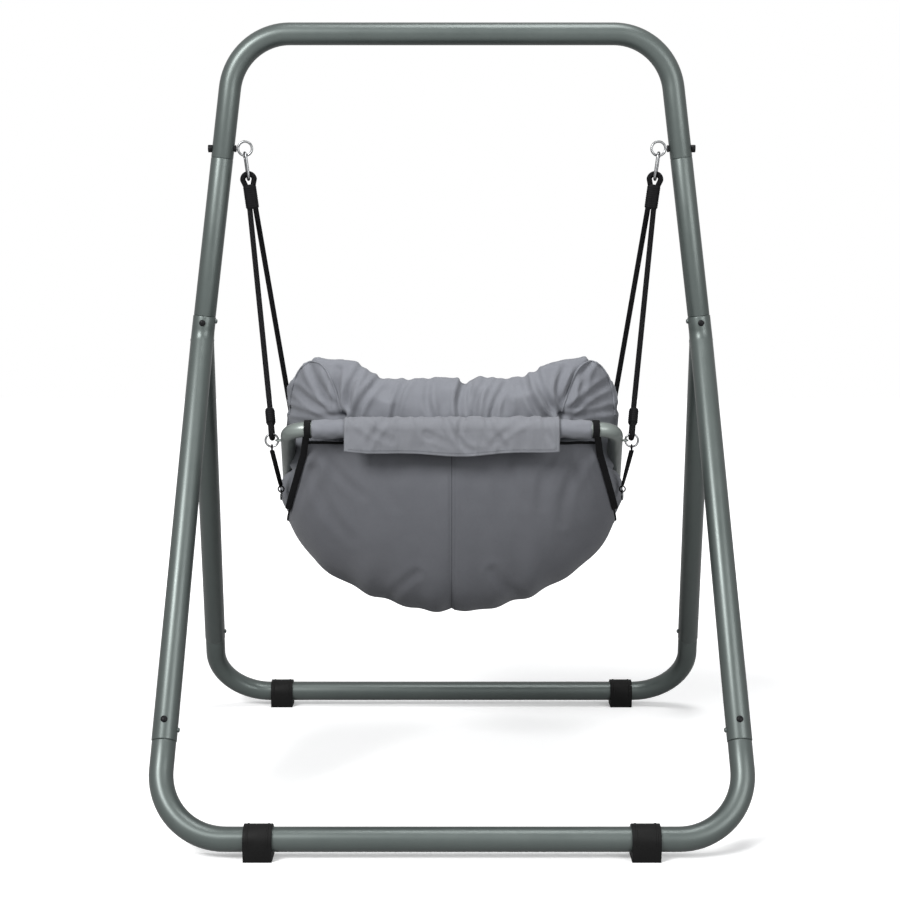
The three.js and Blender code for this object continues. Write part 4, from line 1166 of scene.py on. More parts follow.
    def build_small_parts(self) -> None:
        """Screws, buttons, nuts and foot pads, with their edges rounded over."""
        for hand in Hand:
            side = hand.label
            for name in (f"fork_screw_{side}", f"rear_leg_screw_{side}", f"front_leg_screw_{side}"):
                BLACK_OXIDE.dress(finer_copy(name, self.screw_edge), STAND)
            for name in (f"eye_bolt_nut_{side}", f"eye_bolt_cap_{side}"):
                BLACK_OXIDE.dress(finer_copy(name, self.nut_edge), STAND)
            for place in ("fork", "rear_leg", "front_leg"):
                name = f"{place}_button_{side}"
                STAND_COAT.dress(finer_copy(name, self.button_edge), name)
            for facing in Facing:
                self.build_pad(facing, hand)

    def build_pad(self, facing: Facing, hand: Hand) -> None:
        """One rubber foot pad: a wrapped strap with raised lips over a flat foot.

        Args:
            facing: The end of the stand.
            hand: The side.
        """
        name = f"foot_pad_{facing.label}_{hand.label}"
        RUBBER.dress(finer_copy(name, self.pad_edge, smooth=self.pad_smooth), STAND)
        low, high = (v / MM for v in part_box(name))
        middle = Vector(((low.x + high.x) / 2, facing.sign * self.base_depth, self.base_height))
        outer = self.tube / 2 + self.pad_wall
        for k, shift in enumerate((-self.lip_place, self.lip_place)):
            path = []
            for step in range(self.lip_steps + 1):
                turn = math.radians(self.lip_start + self.lip_turn * step / self.lip_steps)
                path.append(middle + Vector((shift, outer * math.cos(turn), outer * math.sin(turn))))
            lip = swept(f"{name}_lip_{k + 1}", path, self.lip_radius, 12, flat=self.lip_flat,
                        wide_way=Vector((1, 0, 0)))
            RUBBER.dress(lip, STAND)

    def build(self) -> None:
        """The whole stand."""
        self.build_rail()
        for hand in Hand:
            self.build_side(hand)
            self.build_eye_bolt(hand)
        for facing in Facing:
            self.build_base(facing)
        self.build_small_parts()


# Seat frame and hangers


@dataclass
class SeatFrame:
    """The tilted frame of thin tube that carries the sling, with its steel rings."""

    tube: float = 25.0
    bar_y: float = -190.0
    bar_z: float = 634.0
    tilt: float = math.radians(25.5)
    length: float = 480.0
    rear_half: float = 269.0
    front_half: float = 308.0
    rear_bend: float = 36.0
    front_bend: float = 110.0
    joint_share: float = 0.5
    ring_radius: float = 10.7
    ring_wire: float = 3.6
    lug_radius: float = 5.4
    lug_wire: float = 3.2
    lug_lift: float = 2.6
    rear_ring_place: float = 54.0
    front_ring_share: float = 0.42

    def at(self, x: float, s: float) -> Vector:
        """A point of the frame's plane, x across and s down it from the rear bar."""
        return Vector((x, self.bar_y + s * math.cos(self.tilt), self.bar_z - s * math.sin(self.tilt)))

    def half(self, s: float) -> float:
        """The half width of the frame at a distance from the rear bar."""
        return self.rear_half + (self.front_half - self.rear_half) * s / self.length

    @property
    def up(self) -> Vector:
        """The direction square to the frame's plane."""
        return Vector((0, math.sin(self.tilt), math.cos(self.tilt)))

    def runs(self) -> dict[Facing, BentRun]:
        """The centre lines of the two tubes."""
        joint = self.length * self.joint_share
        rear = [self.at(-self.half(joint), joint), self.at(-self.rear_half, 0),
                self.at(self.rear_half, 0), self.at(self.half(joint), joint)]
        seam = joint + GAP
        front = [self.at(-self.half(seam), seam), self.at(-self.front_half, self.length),
                 self.at(self.front_half, self.length), self.at(self.half(seam), seam)]
        return {Facing.REAR: BentRun(rear, [self.rear_bend] * 2, 14),
                Facing.FRONT: BentRun(front, [self.front_bend] * 2, 20)}

    def ring_centres(self, hand: Hand) -> dict[Facing, tuple[Vector, Vector]]:
        """The lug and ring centres at the two corners of a side.

        Args:
            hand: The side.

        Returns:
            The lug's middle and the ring's middle, rear and front.
        """
        reach = self.tube / 2 + self.lug_lift
        link = self.lug_radius - self.lug_wire / 2 - self.ring_wire / 2 - GAP
        way = Vector((hand.sign, 0, 0))
        place = self.rear_ring_place
        rear_lug = self.at(hand.sign * self.half(place), place) + way * reach
        rear = rear_lug + way * (link + self.ring_radius)
        arc, share = (0, self.front_ring_share) if hand is Hand.LEFT else (1, 1 - self.front_ring_share)
        front_lug = self.runs()[Facing.FRONT].on_arc(arc, share) + self.up * reach
        front = front_lug + self.up * link + Vector((0, 0, self.ring_radius))
        return {Facing.REAR: (rear_lug, rear), Facing.FRONT: (front_lug, front)}

    def build(self) -> None:
        """The two tubes, their lugs and the rings."""
        runs = self.runs()
        for facing in Facing:
            piece = swept(f"seat_tube_{facing.label}", runs[facing].stations, self.tube / 2, 36)
            SEAT_COAT.dress(piece, SEAT, f"seat_frame_{facing.label}")
        for hand in Hand:
            for facing, (lug, ring) in self.ring_centres(hand).items():
                corner = f"{facing.label}_{hand.label}"
                axis = Vector((0, 0, 1)) if facing is Facing.REAR else Vector((1, 0, 0))
                eye = wire_ring(f"lug_{corner}", lug, axis, self.lug_radius, self.lug_wire)
                SEAT_COAT.dress(eye, SEAT)
                name = f"corner_ring_{corner}"
                piece = wire_ring(f"{name}_wire", ring, Vector((0, 1, 0)), self.ring_radius, self.ring_wire)
                ZINC.dress(piece, SEAT, name)


@dataclass
class Hangers:
    """The carabiners, the ropes with their loops, and the sleeves round them."""

    stand: Stand
    frame: SeatFrame
    length: float = 51.0
    width: float = 21.0
    wire: float = 5.0
    turn: float = 0.25
    gate_wire: float = 4.2
    gate_share: float = 0.62
    rope: float = 9.6
    rope_lift: float = 2.6
    sleeve_wall: float = 1.2
    top_start: float = 17.0
    top_length: float = 34.0
    end_start: float = 17.0
    end_length: float = 27.0
    end_full: float = 1.7
    top_full: float = 0.6
    top_cover: float = 8.5
    rope_shown: float = 0.98
    end_tuck: float = 2.0
    gate_round: float = 0.22
    gate_reach: float = 1.5
    wrap_ripple: float = 0.35
    wrap_round: float = 2.2
    wrap_reach: float = 4.5
    steps: int = 40

    def arc(self, centre: Vector, up: Vector, out: Vector, radius: float, start: float, end: float,
            steps: int) -> list[Vector]:
        """Points of a loop round a wire.

        Args:
            centre: The wire's middle.
            up: The direction of turn zero.
            out: The direction of a quarter turn.
            radius: The loop's radius.
            start: The first turn, in radians.
            end: The last turn.
            steps: How many short lengths make the loop.

        Returns:
            The points.
        """
        turns = [start + (end - start) * k / steps for k in range(steps + 1)]
        return [centre + out * (radius * math.sin(a)) + up * (radius * math.cos(a)) for a in turns]

    def build_side(self, hand: Hand) -> None:
        """One carabiner, its gate, the rope and its sleeves.

        Args:
            hand: The side.
        """
        side = hand.label
        eye = self.stand.on_pole(hand, self.stand.eye_height)
        eye -= Vector((hand.sign * self.stand.eye_inset, 0, self.stand.eye_radius))
        centres = self.frame.ring_centres(hand)
        rear_top = centres[Facing.REAR][1] + Vector((0, 0, self.frame.ring_radius))
        front_top = centres[Facing.FRONT][1] + Vector((0, 0, self.frame.ring_radius))
        down = towards(eye, between(rear_top, front_top, 0.5))
        across = square_to(Vector((hand.sign, 0, 0)), down)
        depth = down.cross(across).normalized()
        if depth.y > 0:
            depth.negate()
        plane = Quaternion(down, hand.sign * self.turn) @ depth
        top_line = -(self.stand.eye_wire + self.wire) / 2 - GAP
        low_line = top_line + self.length - self.wire
        span = (self.width - self.wire) / 2
        middle = (top_line + low_line) / 2
        gate_half = (low_line - top_line) * self.gate_share / 2

        def in_plane(p: float, low: float) -> Vector:
            """A point of the carabiner's plane."""
            return eye + plane * p + down * low

        places = ((-span, middle + gate_half), (-span, low_line), (span, low_line),
                  (span, top_line), (-span, top_line), (-span, middle - gate_half))
        hook = BentRun([in_plane(*place) for place in places], [span - GAP] * 4, 10)
        body = swept(f"carabiner_hook_{side}", hook.stations, self.wire / 2, 18)
        ZINC.dress(body, SEAT, f"carabiner_{side}")
        low_end = in_plane(-span, middle + gate_half - GAP)
        high_end = in_plane(-span, middle - gate_half + GAP)
        total = (high_end - low_end).length
        path = [between(low_end, high_end, k / self.steps) for k in range(self.steps + 1)]

        def size(run: float) -> float:
            """The gate's radius, rounded towards its ends."""
            near = max(0.0, 1 - min(run, total - run) / self.gate_reach)
            return self.gate_wire / 2 * (1 - self.gate_round * near**2)

        gate = swept(f"carabiner_bar_{side}", path, size, 16)
        ZINC.dress(gate, f"gate_{side}", f"carabiner_gate_{side}")
        self.build_rope(hand, eye, down, across, low_line, rear_top, front_top)

    def build_rope(self, hand: Hand, eye: Vector, down: Vector, across: Vector, low_line: float,
                   rear_top: Vector, front_top: Vector) -> None:
        """The rope, from its rear loop over the carabiner to its front loop.

        Args:
            hand: The side.
            eye: The lowest point of the eye bolt's wire.
            down: The way that the hanger hangs.
            across: The direction out to the side, square to down.
            low_line: How far below the eye the carabiner's lower bend lies.
            rear_top: The top of the rear ring's wire.
            front_top: The top of the front ring's wire.
        """
        side = hand.label
        radius = self.rope / 2
        strand = radius + GAP
        top_loop = (self.wire + self.rope) / 2 + self.rope_lift
        end_loop = (self.frame.ring_wire + self.rope) / 2 + GAP
        sleeve_top = eye + down * (low_line + self.top_start)
        sleeve_low = eye + down * (low_line + self.top_start + self.top_length)
        rear_up, front_up = towards(rear_top, sleeve_low), towards(front_top, sleeve_low)
        rear_out = square_to(Vector((0, -1, 0)), rear_up)
        front_out = square_to(Vector((0, 1, 0)), front_up)
        end_top = self.end_start + self.end_length
        half, whole = math.pi / 2, math.pi * 1.5
        points = [
            rear_top + rear_up * (end_top - self.end_tuck) + rear_out * strand,
            rear_top + rear_up * self.end_start + rear_out * strand,
            *self.arc(rear_top, rear_up, rear_out, end_loop, half, whole, 10),
            rear_top + rear_up * self.end_start - rear_out * strand,
            rear_top + rear_up * end_top - rear_out * strand,
            sleeve_low + across * strand,
            sleeve_top + across * strand,
            *self.arc(eye + down * low_line, -down, across, top_loop, half, -half, 12),
            sleeve_top - across * strand,
            sleeve_low - across * strand,
            front_top + front_up * end_top - front_out * strand,
            front_top + front_up * self.end_start - front_out * strand,
            *self.arc(front_top, front_up, front_out, end_loop, whole, half, 10),
            front_top + front_up * self.end_start + front_out * strand,
            front_top + front_up * (end_top - self.end_tuck) + front_out * strand,
        ]
        path = eased(points, 5)
        rope = swept(f"rope_line_{side}", path, radius * self.rope_shown, 16)
        ROPE.dress(rope, SEAT, f"rope_{side}")
        for place, start, up, out, reach in (
            ("top", sleeve_low, -down, across, self.top_length + self.top_cover),
            ("rear", rear_top + rear_up * self.end_start, rear_up, rear_out, self.end_length),
            ("front", front_top + front_up * self.end_start, front_up, front_out, self.end_length),
        ):
            name = f"rope_sleeve_{place}_{side}"
            wide = 2 * (radius + GAP) + self.sleeve_wall
            full = self.end_full if place != "top" else self.top_full
            run = [start + up * (reach * k / self.steps) for k in range(self.steps + 1)]

            def size(far: float, wide: float = wide, reach: float = reach) -> float:
                """The sleeve's half width, rippled and rounded towards its ends."""
                near = max(0.0, 1 - min(far, reach - far) / self.wrap_reach)
                return wide + self.wrap_ripple * math.cos(far * 1.7) - self.wrap_round * near**2

            flat = (radius + GAP + self.sleeve_wall + full) / wide
            sleeve = swept(f"{name}_wrap", run, size, flat=flat, wide_way=out)
            SLEEVE.dress(sleeve, SEAT, name)
        run_length(path) * MM

    def build(self) -> None:
        """Both sides."""
        for hand in Hand:
            self.build_side(hand)


# Sling, cushions and straps


def smooth_curve(points: list[Vector], t: float) -> Vector:
    """A point of a centripetal curve through points, running on straight past its ends.

    Args:
        points: The points to pass through.
        t: The share of the way, even between points.

    Returns:
        The point.
    """
    count = len(points) - 1
    inside = min(max(t, 0.0), 1.0)
    place = inside * count
    i = min(int(place), count - 1)
    u = place - i
    p1, p2 = points[i], points[i + 1]
    p0 = points[i - 1] if i else p1 * 2 - p2
    p3 = points[i + 2] if i + 2 <= count else p2 * 2 - p1
    d0, d1, d2 = ((b - a).length ** 0.5 or 1.0 for a, b in ((p0, p1), (p1, p2), (p2, p3)))
    t1 = ((p1 - p0) / d0 - (p2 - p0) / (d0 + d1) + (p2 - p1) / d1) * d1
    t2 = ((p2 - p1) / d1 - (p3 - p1) / (d1 + d2) + (p3 - p2) / d2) * d1
    point = (p1 * (2 * u**3 - 3 * u**2 + 1) + p2 * (-2 * u**3 + 3 * u**2)
             + t1 * (u**3 - 2 * u**2 + u) + t2 * (u**3 - u**2))
    if t != inside:
        point += (points[-1] - points[-2] if t > 1 else points[1] - points[0]) * ((t - inside) * count)
    return point


SLING_CREASES = tuple(Crease(*row) for row in (
    ((-214, 600), (-150, 520), 2.2, 9), ((-120, 596), (-96, 500), 1.6, 10),
    ((92, 600), (120, 505), 1.8, 10), ((176, 604), (150, 500), 2.2, 9),
    ((222, 590), (186, 470), 2.4, 10), ((-232, 560), (-170, 440), 2.0, 11),
    ((-60, 380), (-110, 320), 2.0, 9), ((70, 385), (120, 330), 2.0, 9),
    ((40, 560), (60, 470), 1.2, 12),
))

FLAP_CREASES = tuple(Crease(*row) for row in (
    ((-12, 8), (33, 58), 2.4, 5), ((22, 4), (12, 46), 1.8, 5),
    ((57, 8), (88, 56), 2.0, 6), ((-98, 6), (-138, 52), 1.8, 6),
    ((-158, 10), (-98, 44), 1.6, 6), ((124, 12), (64, 52), 1.8, 6),
    ((-60, 6), (-30, 50), 1.4, 6), ((150, 4), (164, 50), 1.5, 5),
    ((-40, 34), (60, 62), 1.6, 6),
))

BACK_CREASES = tuple(Crease(*row) for row in (
    ((-180, 652), (-262, 694), 5.0, 7.2), ((-182, 650), (-280, 660), 4.5, 6.4),
    ((-180, 656), (-231, 738), 5.0, 7.2), ((-178, 656), (-188, 730), 4.5, 6.4),
    ((-172, 656), (-152, 732), 4.5, 6.4), ((-160, 652), (-112, 720), 4.0, 6.4),
    ((-96, 650), (-66, 722), 3.4, 5.6), ((-30, 650), (-38, 716), 2.8, 6.4),
    ((14, 650), (24, 722), 5.6, 6.4), ((36, 654), (60, 720), 3.6, 5.6),
    ((66, 650), (92, 712), 3.0, 5.6), ((150, 652), (120, 716), 4.0, 6.4),
    ((176, 656), (140, 726), 4.6, 6.4), ((180, 656), (186, 732), 4.2, 6.4),
    ((182, 656), (216, 732), 5.0, 7.2), ((182, 652), (262, 704), 5.0, 7.2),
    ((184, 650), (278, 660), 4.5, 6.4), ((-240, 748), (-214, 690), 3.0, 6.4),
    ((236, 748), (214, 694), 3.0, 6.4),
))


@dataclass
class Sling:
    """The cloth bucket from the rear bar down, under and up to the front bar."""

    frame: SeatFrame
    thick: float = 2.6
    top_drop: float = 22.0
    low: float = 293.0
    draw_in: float = 0.105
    rows: int = 120
    columns: int = 150
    lining_rows: int = 70
    lining_columns: int = 80
    lining_reach: float = 70.0
    lining_lean: float = 0.55
    heart: tuple[float, float, float] = (0.0, 30.0, 430.0)
    seam_width: float = 0.8
    seam_lift: float = 0.55
    seam_stations: int = 160
    stitch_place: float = 5.5
    stitch_lift: float = 0.15
    stitch_pitch: float = 3.4
    stitch_radius: float = 0.45
    side_binding: float = 2.3
    top_binding: float = 2.4
    top_sway: float = 1.6
    cut_share: float = 0.72
    side_steps: int = 90
    top_steps: int = 120

    def __post_init__(self) -> None:
        """Works out the curves of the middle and of the rim."""
        y, z = self.frame.bar_y + 18, self.frame.bar_z - self.top_drop
        end = self.frame.at(0, self.frame.length - self.frame.tube * 0.9)
        end_z = end.z - self.frame.tube * 0.2
        half = self.frame.rear_half
        self.middle = [Vector((0, *p)) for p in (
            (y, z), (y + 6, 520), (y + 36, 420), (y + 96, 332), (y + 180, self.low),
            (end.y - 130, self.low + 8), (end.y - 50, self.low + 55), (end.y, end_z))]
        self.rim = [Vector(p) for p in (
            (half - 30, y, z), (half - 10, y + 40, 548), (half + 8, y + 86, 492), (half + 18, y + 136, 462),
            (half + 22, y + 196, 452), (half + 14, end.y - 120, 440), (half - 18, end.y - 50, 426),
            (half - 76, end.y, end_z))]

    def at(self, t: float, q: float) -> Vector:
        """A point of the sling, its rear rim at zero and its middle line at zero across.

        Args:
            t: The share of the way to the front bar.
            q: The share across.

        Returns:
            The point, in millimetres.
        """
        low, rim = smooth_curve(self.middle, t), smooth_curve(self.rim, t)
        angle = abs(q) * math.pi / 2
        lift = 1 - math.cos(angle)
        draw = 1 - self.draw_in * max(0.0, math.cos(angle)) ** 0.6
        x = math.copysign(rim.x * math.sin(angle) * draw, q)
        return Vector((x, low.y + (rim.y - low.y) * lift, low.z + (rim.z - low.z) * lift))

    def inward(self, t: float, q: float) -> Vector:
        """The direction into the bucket.

        Args:
            t: The share of the way to the front bar.
            q: The share across.

        Returns:
            The unit direction.
        """
        step = 0.01
        along = self.at(t + step, q) - self.at(t - step, q)
        over = self.at(t, q + step) - self.at(t, q - step)
        return over.cross(along).normalized()

    def lining(self, gap: float) -> BVHTree:
        """The inner face of the bucket, moved inwards a little.

        Args:
            gap: How far it is moved, in millimetres.

        Returns:
            The face as a search tree, with its faces pointing inwards.
        """
        rows, columns = self.lining_rows, self.lining_columns
        points = []
        for i in range(rows + 1):
            for j in range(columns + 1):
                t, q = i / rows, j / columns * 2 - 1
                away = self.thick - self.relief(t, q) + gap
                points.append((self.at(t, q) + self.inward(t, q) * away) * MM)
        wide = columns + 1
        faces = [(i * wide + j, (i + 1) * wide + j, (i + 1) * wide + j + 1, i * wide + j + 1)
                 for i in range(rows) for j in range(columns)]
        return BVHTree.FromPolygons(points, faces)

    def hold_in(self, piece: Piece, gap: float = 2.0) -> None:
        """Keeps a cushion's points inside the bucket.

        Args:
            piece: The cushion, whose mesh is changed.
            gap: How far inside the cloth its points stay, in millimetres.
        """
        tree = self.lining(gap)
        heart = Vector(self.heart) * MM
        for vertex in piece.data.vertices:
            spot, normal, _, far = tree.find_nearest(vertex.co)
            if normal.dot(heart - spot) < 0:
                normal = -normal
            beyond = (vertex.co - spot).dot(normal)
            if beyond < 0 and far < self.lining_reach * MM and abs(beyond) > self.lining_lean * far:
                vertex.co = spot
        piece.data.update()

    def relief(self, t: float, q: float) -> float:
        """How far the cloth stands off its even form, for its folds and its seam.

        Args:
            t: The share from the rear bar to the front bar.
            q: The share across.

        Returns:
            The move outwards in millimetres.
        """
        point = self.at(t, q)
        slow = noise.noise(Vector((point.x * 0.011, point.z * 0.008, 3.1)))
        drape = noise.noise(Vector((point.x * 0.032, point.z * 0.006, 7.7)))
        pull = hill(t, 0, 0.12) * math.sin(abs(point.x) * 0.11 + 0.6) * 1.1
        corner = hill(abs(q), 0.86, 0.16) * hill(t, 0.1, 0.14)
        under = hill(t, 0.5, 0.2)
        lobe = 5.5 * (hill(abs(point.x), 40, 34) - 0.4 * hill(point.x, 0, 15))
        waves = math.sin(abs(point.x) * 0.098 + 0.4 * math.copysign(1, point.x))
        scallop = 2.6 * waves * (1 - abs(q)) ** 0.5
        lumps = under * (lobe + scallop)
        fold = math.sin((abs(point.x) + point.z * 0.55) * 0.16) * corner * 2.2
        seam = 0.8 * hill(abs(point.x), 7, 3.2) - 1.3 * hill(point.x, 0, 2.6)
        edge = min(1.0, (1 - abs(q)) * 9, t * 14, (1 - t) * 14)
        folds = sum(crease.at(point.x, point.z) for crease in SLING_CREASES)
        even = slow * 3.4 + drape * 2.0 + pull + lumps + fold + folds * (1 if t < 0.5 else 0)
        return even * max(edge, 0.0) + seam * min(1.0, t * 10)

    def build(self) -> None:
        """The panel, its centre seam, its rows of stitches and its black binding."""
        outer, inner = [], []
        for i in range(self.rows + 1):
            t = i / self.rows
            near, far = [], []
            for j in range(self.columns + 1):
                q = j / self.columns * 2 - 1
                way = self.inward(t, q)
                skin = self.at(t, q) - way * self.relief(t, q)
                near.append(skin)
                far.append(skin + way * self.thick)
            outer.append(near)
            inner.append(far)
        panel = cloth_grid("sling_panel", outer, inner)
        CANVAS.dress(panel, SEAT, "sling")
        shares = [i / self.seam_stations for i in range(5, self.seam_stations - 4)]
        middle = [self.at(t, 0) - self.inward(t, 0) * (self.relief(t, 0) - self.seam_lift) for t in shares]
        WEBBING.dress(swept("sling_seam_line", middle, self.seam_width, 8), SEAT)
        for k, x in enumerate((-self.stitch_place, self.stitch_place)):
            path = []
            for i in range(3, self.rows - 3):
                t = i / self.rows
                q = x / (smooth_curve(self.rim, t).x * math.pi / 2)
                way = self.inward(t, q)
                path.append(self.at(t, q) - way * (self.relief(t, q) + self.stitch_lift))
            row = stitch_row(f"sling_seam_stitches_{k + 1}", path, self.stitch_pitch, self.stitch_radius)
            CANVAS.dress(row, SEAT)
        for hand in Hand:
            edge = []
            for i in range(self.side_steps + 1):
                t = i / self.side_steps
                edge.append(self.at(t, hand.sign) + self.inward(t, hand.sign) * self.thick / 2)
            bead = swept(f"sling_binding_{hand.label}", edge, self.side_binding, 12)
            WEBBING.dress(bead, SEAT)
        top = []
        for k in range(self.top_steps + 1):
            q = 2 * k / self.top_steps - 1
            sway = self.top_sway * noise.noise(Vector((q * 7, 0, 0)))
            top.append(self.at(0.004, q) + Vector((0, -1.0, sway)))
        WEBBING.dress(swept("sling_top_binding", top, self.top_binding, 12), SEAT)
        width = run_length([self.at(0.5, j / 40 * 2 - 1) for j in range(41)])
        length = run_length([self.at(i / 60, 0) for i in range(61)])
        LOG.info("sling cloth: %.0f by %.0f mm flat", width, length)


@dataclass
class BarCloth:
    """The cloth sleeve on the rear bar and the flap sewn over it."""

    frame: SeatFrame
    sleeve_half: float = 230.0
    sleeve_wall: float = 3.6
    flap_half: float = 176.0
    flap_thick: float = 2.4
    flap_drop: float = 34.0
    flap_lift: float = 0.5
    flap_start: float = 0.42 * math.pi
    flap_turn: float = 0.58 * math.pi
    flap_rows: int = 56
    flap_columns: int = 220
    hem_side_steps: int = 40
    hem_low_steps: int = 120
    drop_share: float = 1.1
    hem: float = 5.5
    stitch_pitch: float = 3.4
    stitch_radius: float = 0.5
    sleeve_steps: int = 120
    sleeve_turns: int = 40
    end_reach: float = 5.0
    end_round: float = 2.4
    gather_height: float = 1.6
    ripple_height: float = 0.5
    sleeve_inset: float = 0.9

    def build_sleeve(self) -> None:
        """The gathered sleeve round the bar."""
        radius = self.frame.tube / 2 + self.sleeve_wall
        steps, turns = self.sleeve_steps, self.sleeve_turns
        bm = bmesh.new()
        rings = []
        for i in range(steps + 1):
            x = self.sleeve_half * (i / steps * 2 - 1)
            end = max(0.0, 1 - (self.sleeve_half - abs(x)) / self.end_reach)
            ring = []
            for k in range(turns):
                a = 2 * math.pi * k / turns
                crease = noise.noise(Vector((x * 0.06, math.cos(a) * 1.4, math.sin(a) * 1.4)))
                ripple = math.sin(x * 0.24 + 1.7 * math.sin(a)) * self.ripple_height
                size = radius - self.sleeve_inset + crease * self.gather_height + ripple
                size -= self.end_round * end**2
                ring.append(bm.verts.new(Vector((x, self.frame.bar_y + size * math.cos(a),
                                                 self.frame.bar_z + size * math.sin(a))) * MM))
            rings.append(ring)
        for low, high in zip(rings, rings[1:]):
            for k in range(turns):
                n = (k + 1) % turns
                bm.faces.new((low[k], low[n], high[n], high[k]))
        bm.faces.new(rings[0])
        bm.faces.new(rings[-1][::-1])
        bmesh.ops.recalc_face_normals(bm, faces=bm.faces[:])
        CUSHION.dress(mesh_object("bar_sleeve_cloth", bm, 60), SEAT, "rear_bar_sleeve")

    @property
    def flap_radius(self) -> float:
        """The radius of the flap's inner face round the bar."""
        return self.frame.tube / 2 + self.sleeve_wall + self.flap_lift

    @property
    def flap_over(self) -> float:
        """The flap's run over the bar, before it hangs down."""
        return self.flap_turn * self.flap_radius

    @property
    def flap_run(self) -> float:
        """The flap's length from its rear edge over the bar and down."""
        return self.flap_over + self.flap_drop

    def flap_at(self, x: float, down: float, off: float) -> Vector:
        """A point of the flap over the bar or below it.

        Args:
            x: The place along the bar.
            down: The run from the rear edge.
            off: The distance off the sleeve.

        Returns:
            The point, in millimetres.
        """
        radius, over = self.flap_radius, self.flap_over
        if down <= over:
            a = self.flap_start + down / radius
            size = radius + off
            return Vector((x, self.frame.bar_y + size * math.cos(a), self.frame.bar_z + size * math.sin(a)))
        return Vector((x, self.frame.bar_y - radius - off, self.frame.bar_z - (down - over)))

    def relief(self, x: float, share: float) -> float:
        """The flap's gathers, puckers and hem.

        Args:
            x: The place along the bar.
            share: The share of the run.

        Returns:
            The height, in millimetres.
        """
        wave = noise.noise(Vector((x * 0.03, share * 1.1, 1.3))) * 2.0
        pucker = math.sin(x * 0.19 + 2.2 * share) * 0.5
        pucker += noise.noise(Vector((x * 0.11, share * 3, 5.0))) * 0.9
        hang = max(0.0, share - 0.45) * (3.0 + 3.4 * math.sin(x * 0.034 + 0.6))
        down = share * self.flap_run
        folds = sum(crease.at(x, down) for crease in FLAP_CREASES)
        inside = min(self.flap_half - abs(x), self.flap_run * 1.04 - down) - self.hem
        groove = -0.9 * hill(inside, 0, 1.3)
        return max(0.2, 2.0 + wave + pucker + hang + folds + groove)

    def build_flap(self) -> None:
        """The flap and its stitched hem."""
        rows, columns = self.flap_rows, self.flap_columns

        def spot(x: float, share: float, off: float) -> Vector:
            """A point of the flap's skin.

            Args:
                x: The place along the bar.
                share: The share of the run.
                off: The distance off the inner face.

            Returns:
                The point.
            """
            place = x / self.flap_half
            sway = 1 + 0.22 * math.cos(place * math.pi * 0.5) + 0.05 * math.sin(place * 7 + 1)
            total = self.flap_over + self.flap_drop * sway
            lift = self.relief(x, share) * (0.35 if share < 0.1 else 1.0)
            thin = min(1.0, (self.flap_half - abs(x)) / 1.5 + 0.3, (1 - share) * 30 + 0.3)
            return self.flap_at(x, total * share, lift + off * thin)

        grids = []
        for off in (0.0, self.flap_thick):
            grids.append([[spot(self.flap_half * (j / columns * 2 - 1), i / rows, off)
                           for j in range(columns + 1)] for i in range(rows + 1)])
        flap = FLAP.dress(cloth_grid("bar_flap_cloth", *grids), SEAT, "rear_flap")
        inset = self.flap_half - self.hem
        low = 1 - self.hem / self.flap_run
        top = self.flap_thick + 0.1
        sides, along = self.hem_side_steps, self.hem_low_steps
        last = int(sides * low)
        path = [spot(-inset, k / sides, top) for k in range(8, last)]
        path += [spot(-inset + 2 * inset * k / along, low, top) for k in range(along + 1)]
        path += [spot(inset, k / sides, top) for k in range(last - 1, 7, -1)]
        stitches = stitch_row("bar_flap_stitches", path, self.stitch_pitch, self.stitch_radius)
        FLAP.dress(stitches, SEAT)

    def build(self) -> None:
        """The sleeve and the flap."""
        self.build_sleeve()
        self.build_flap()


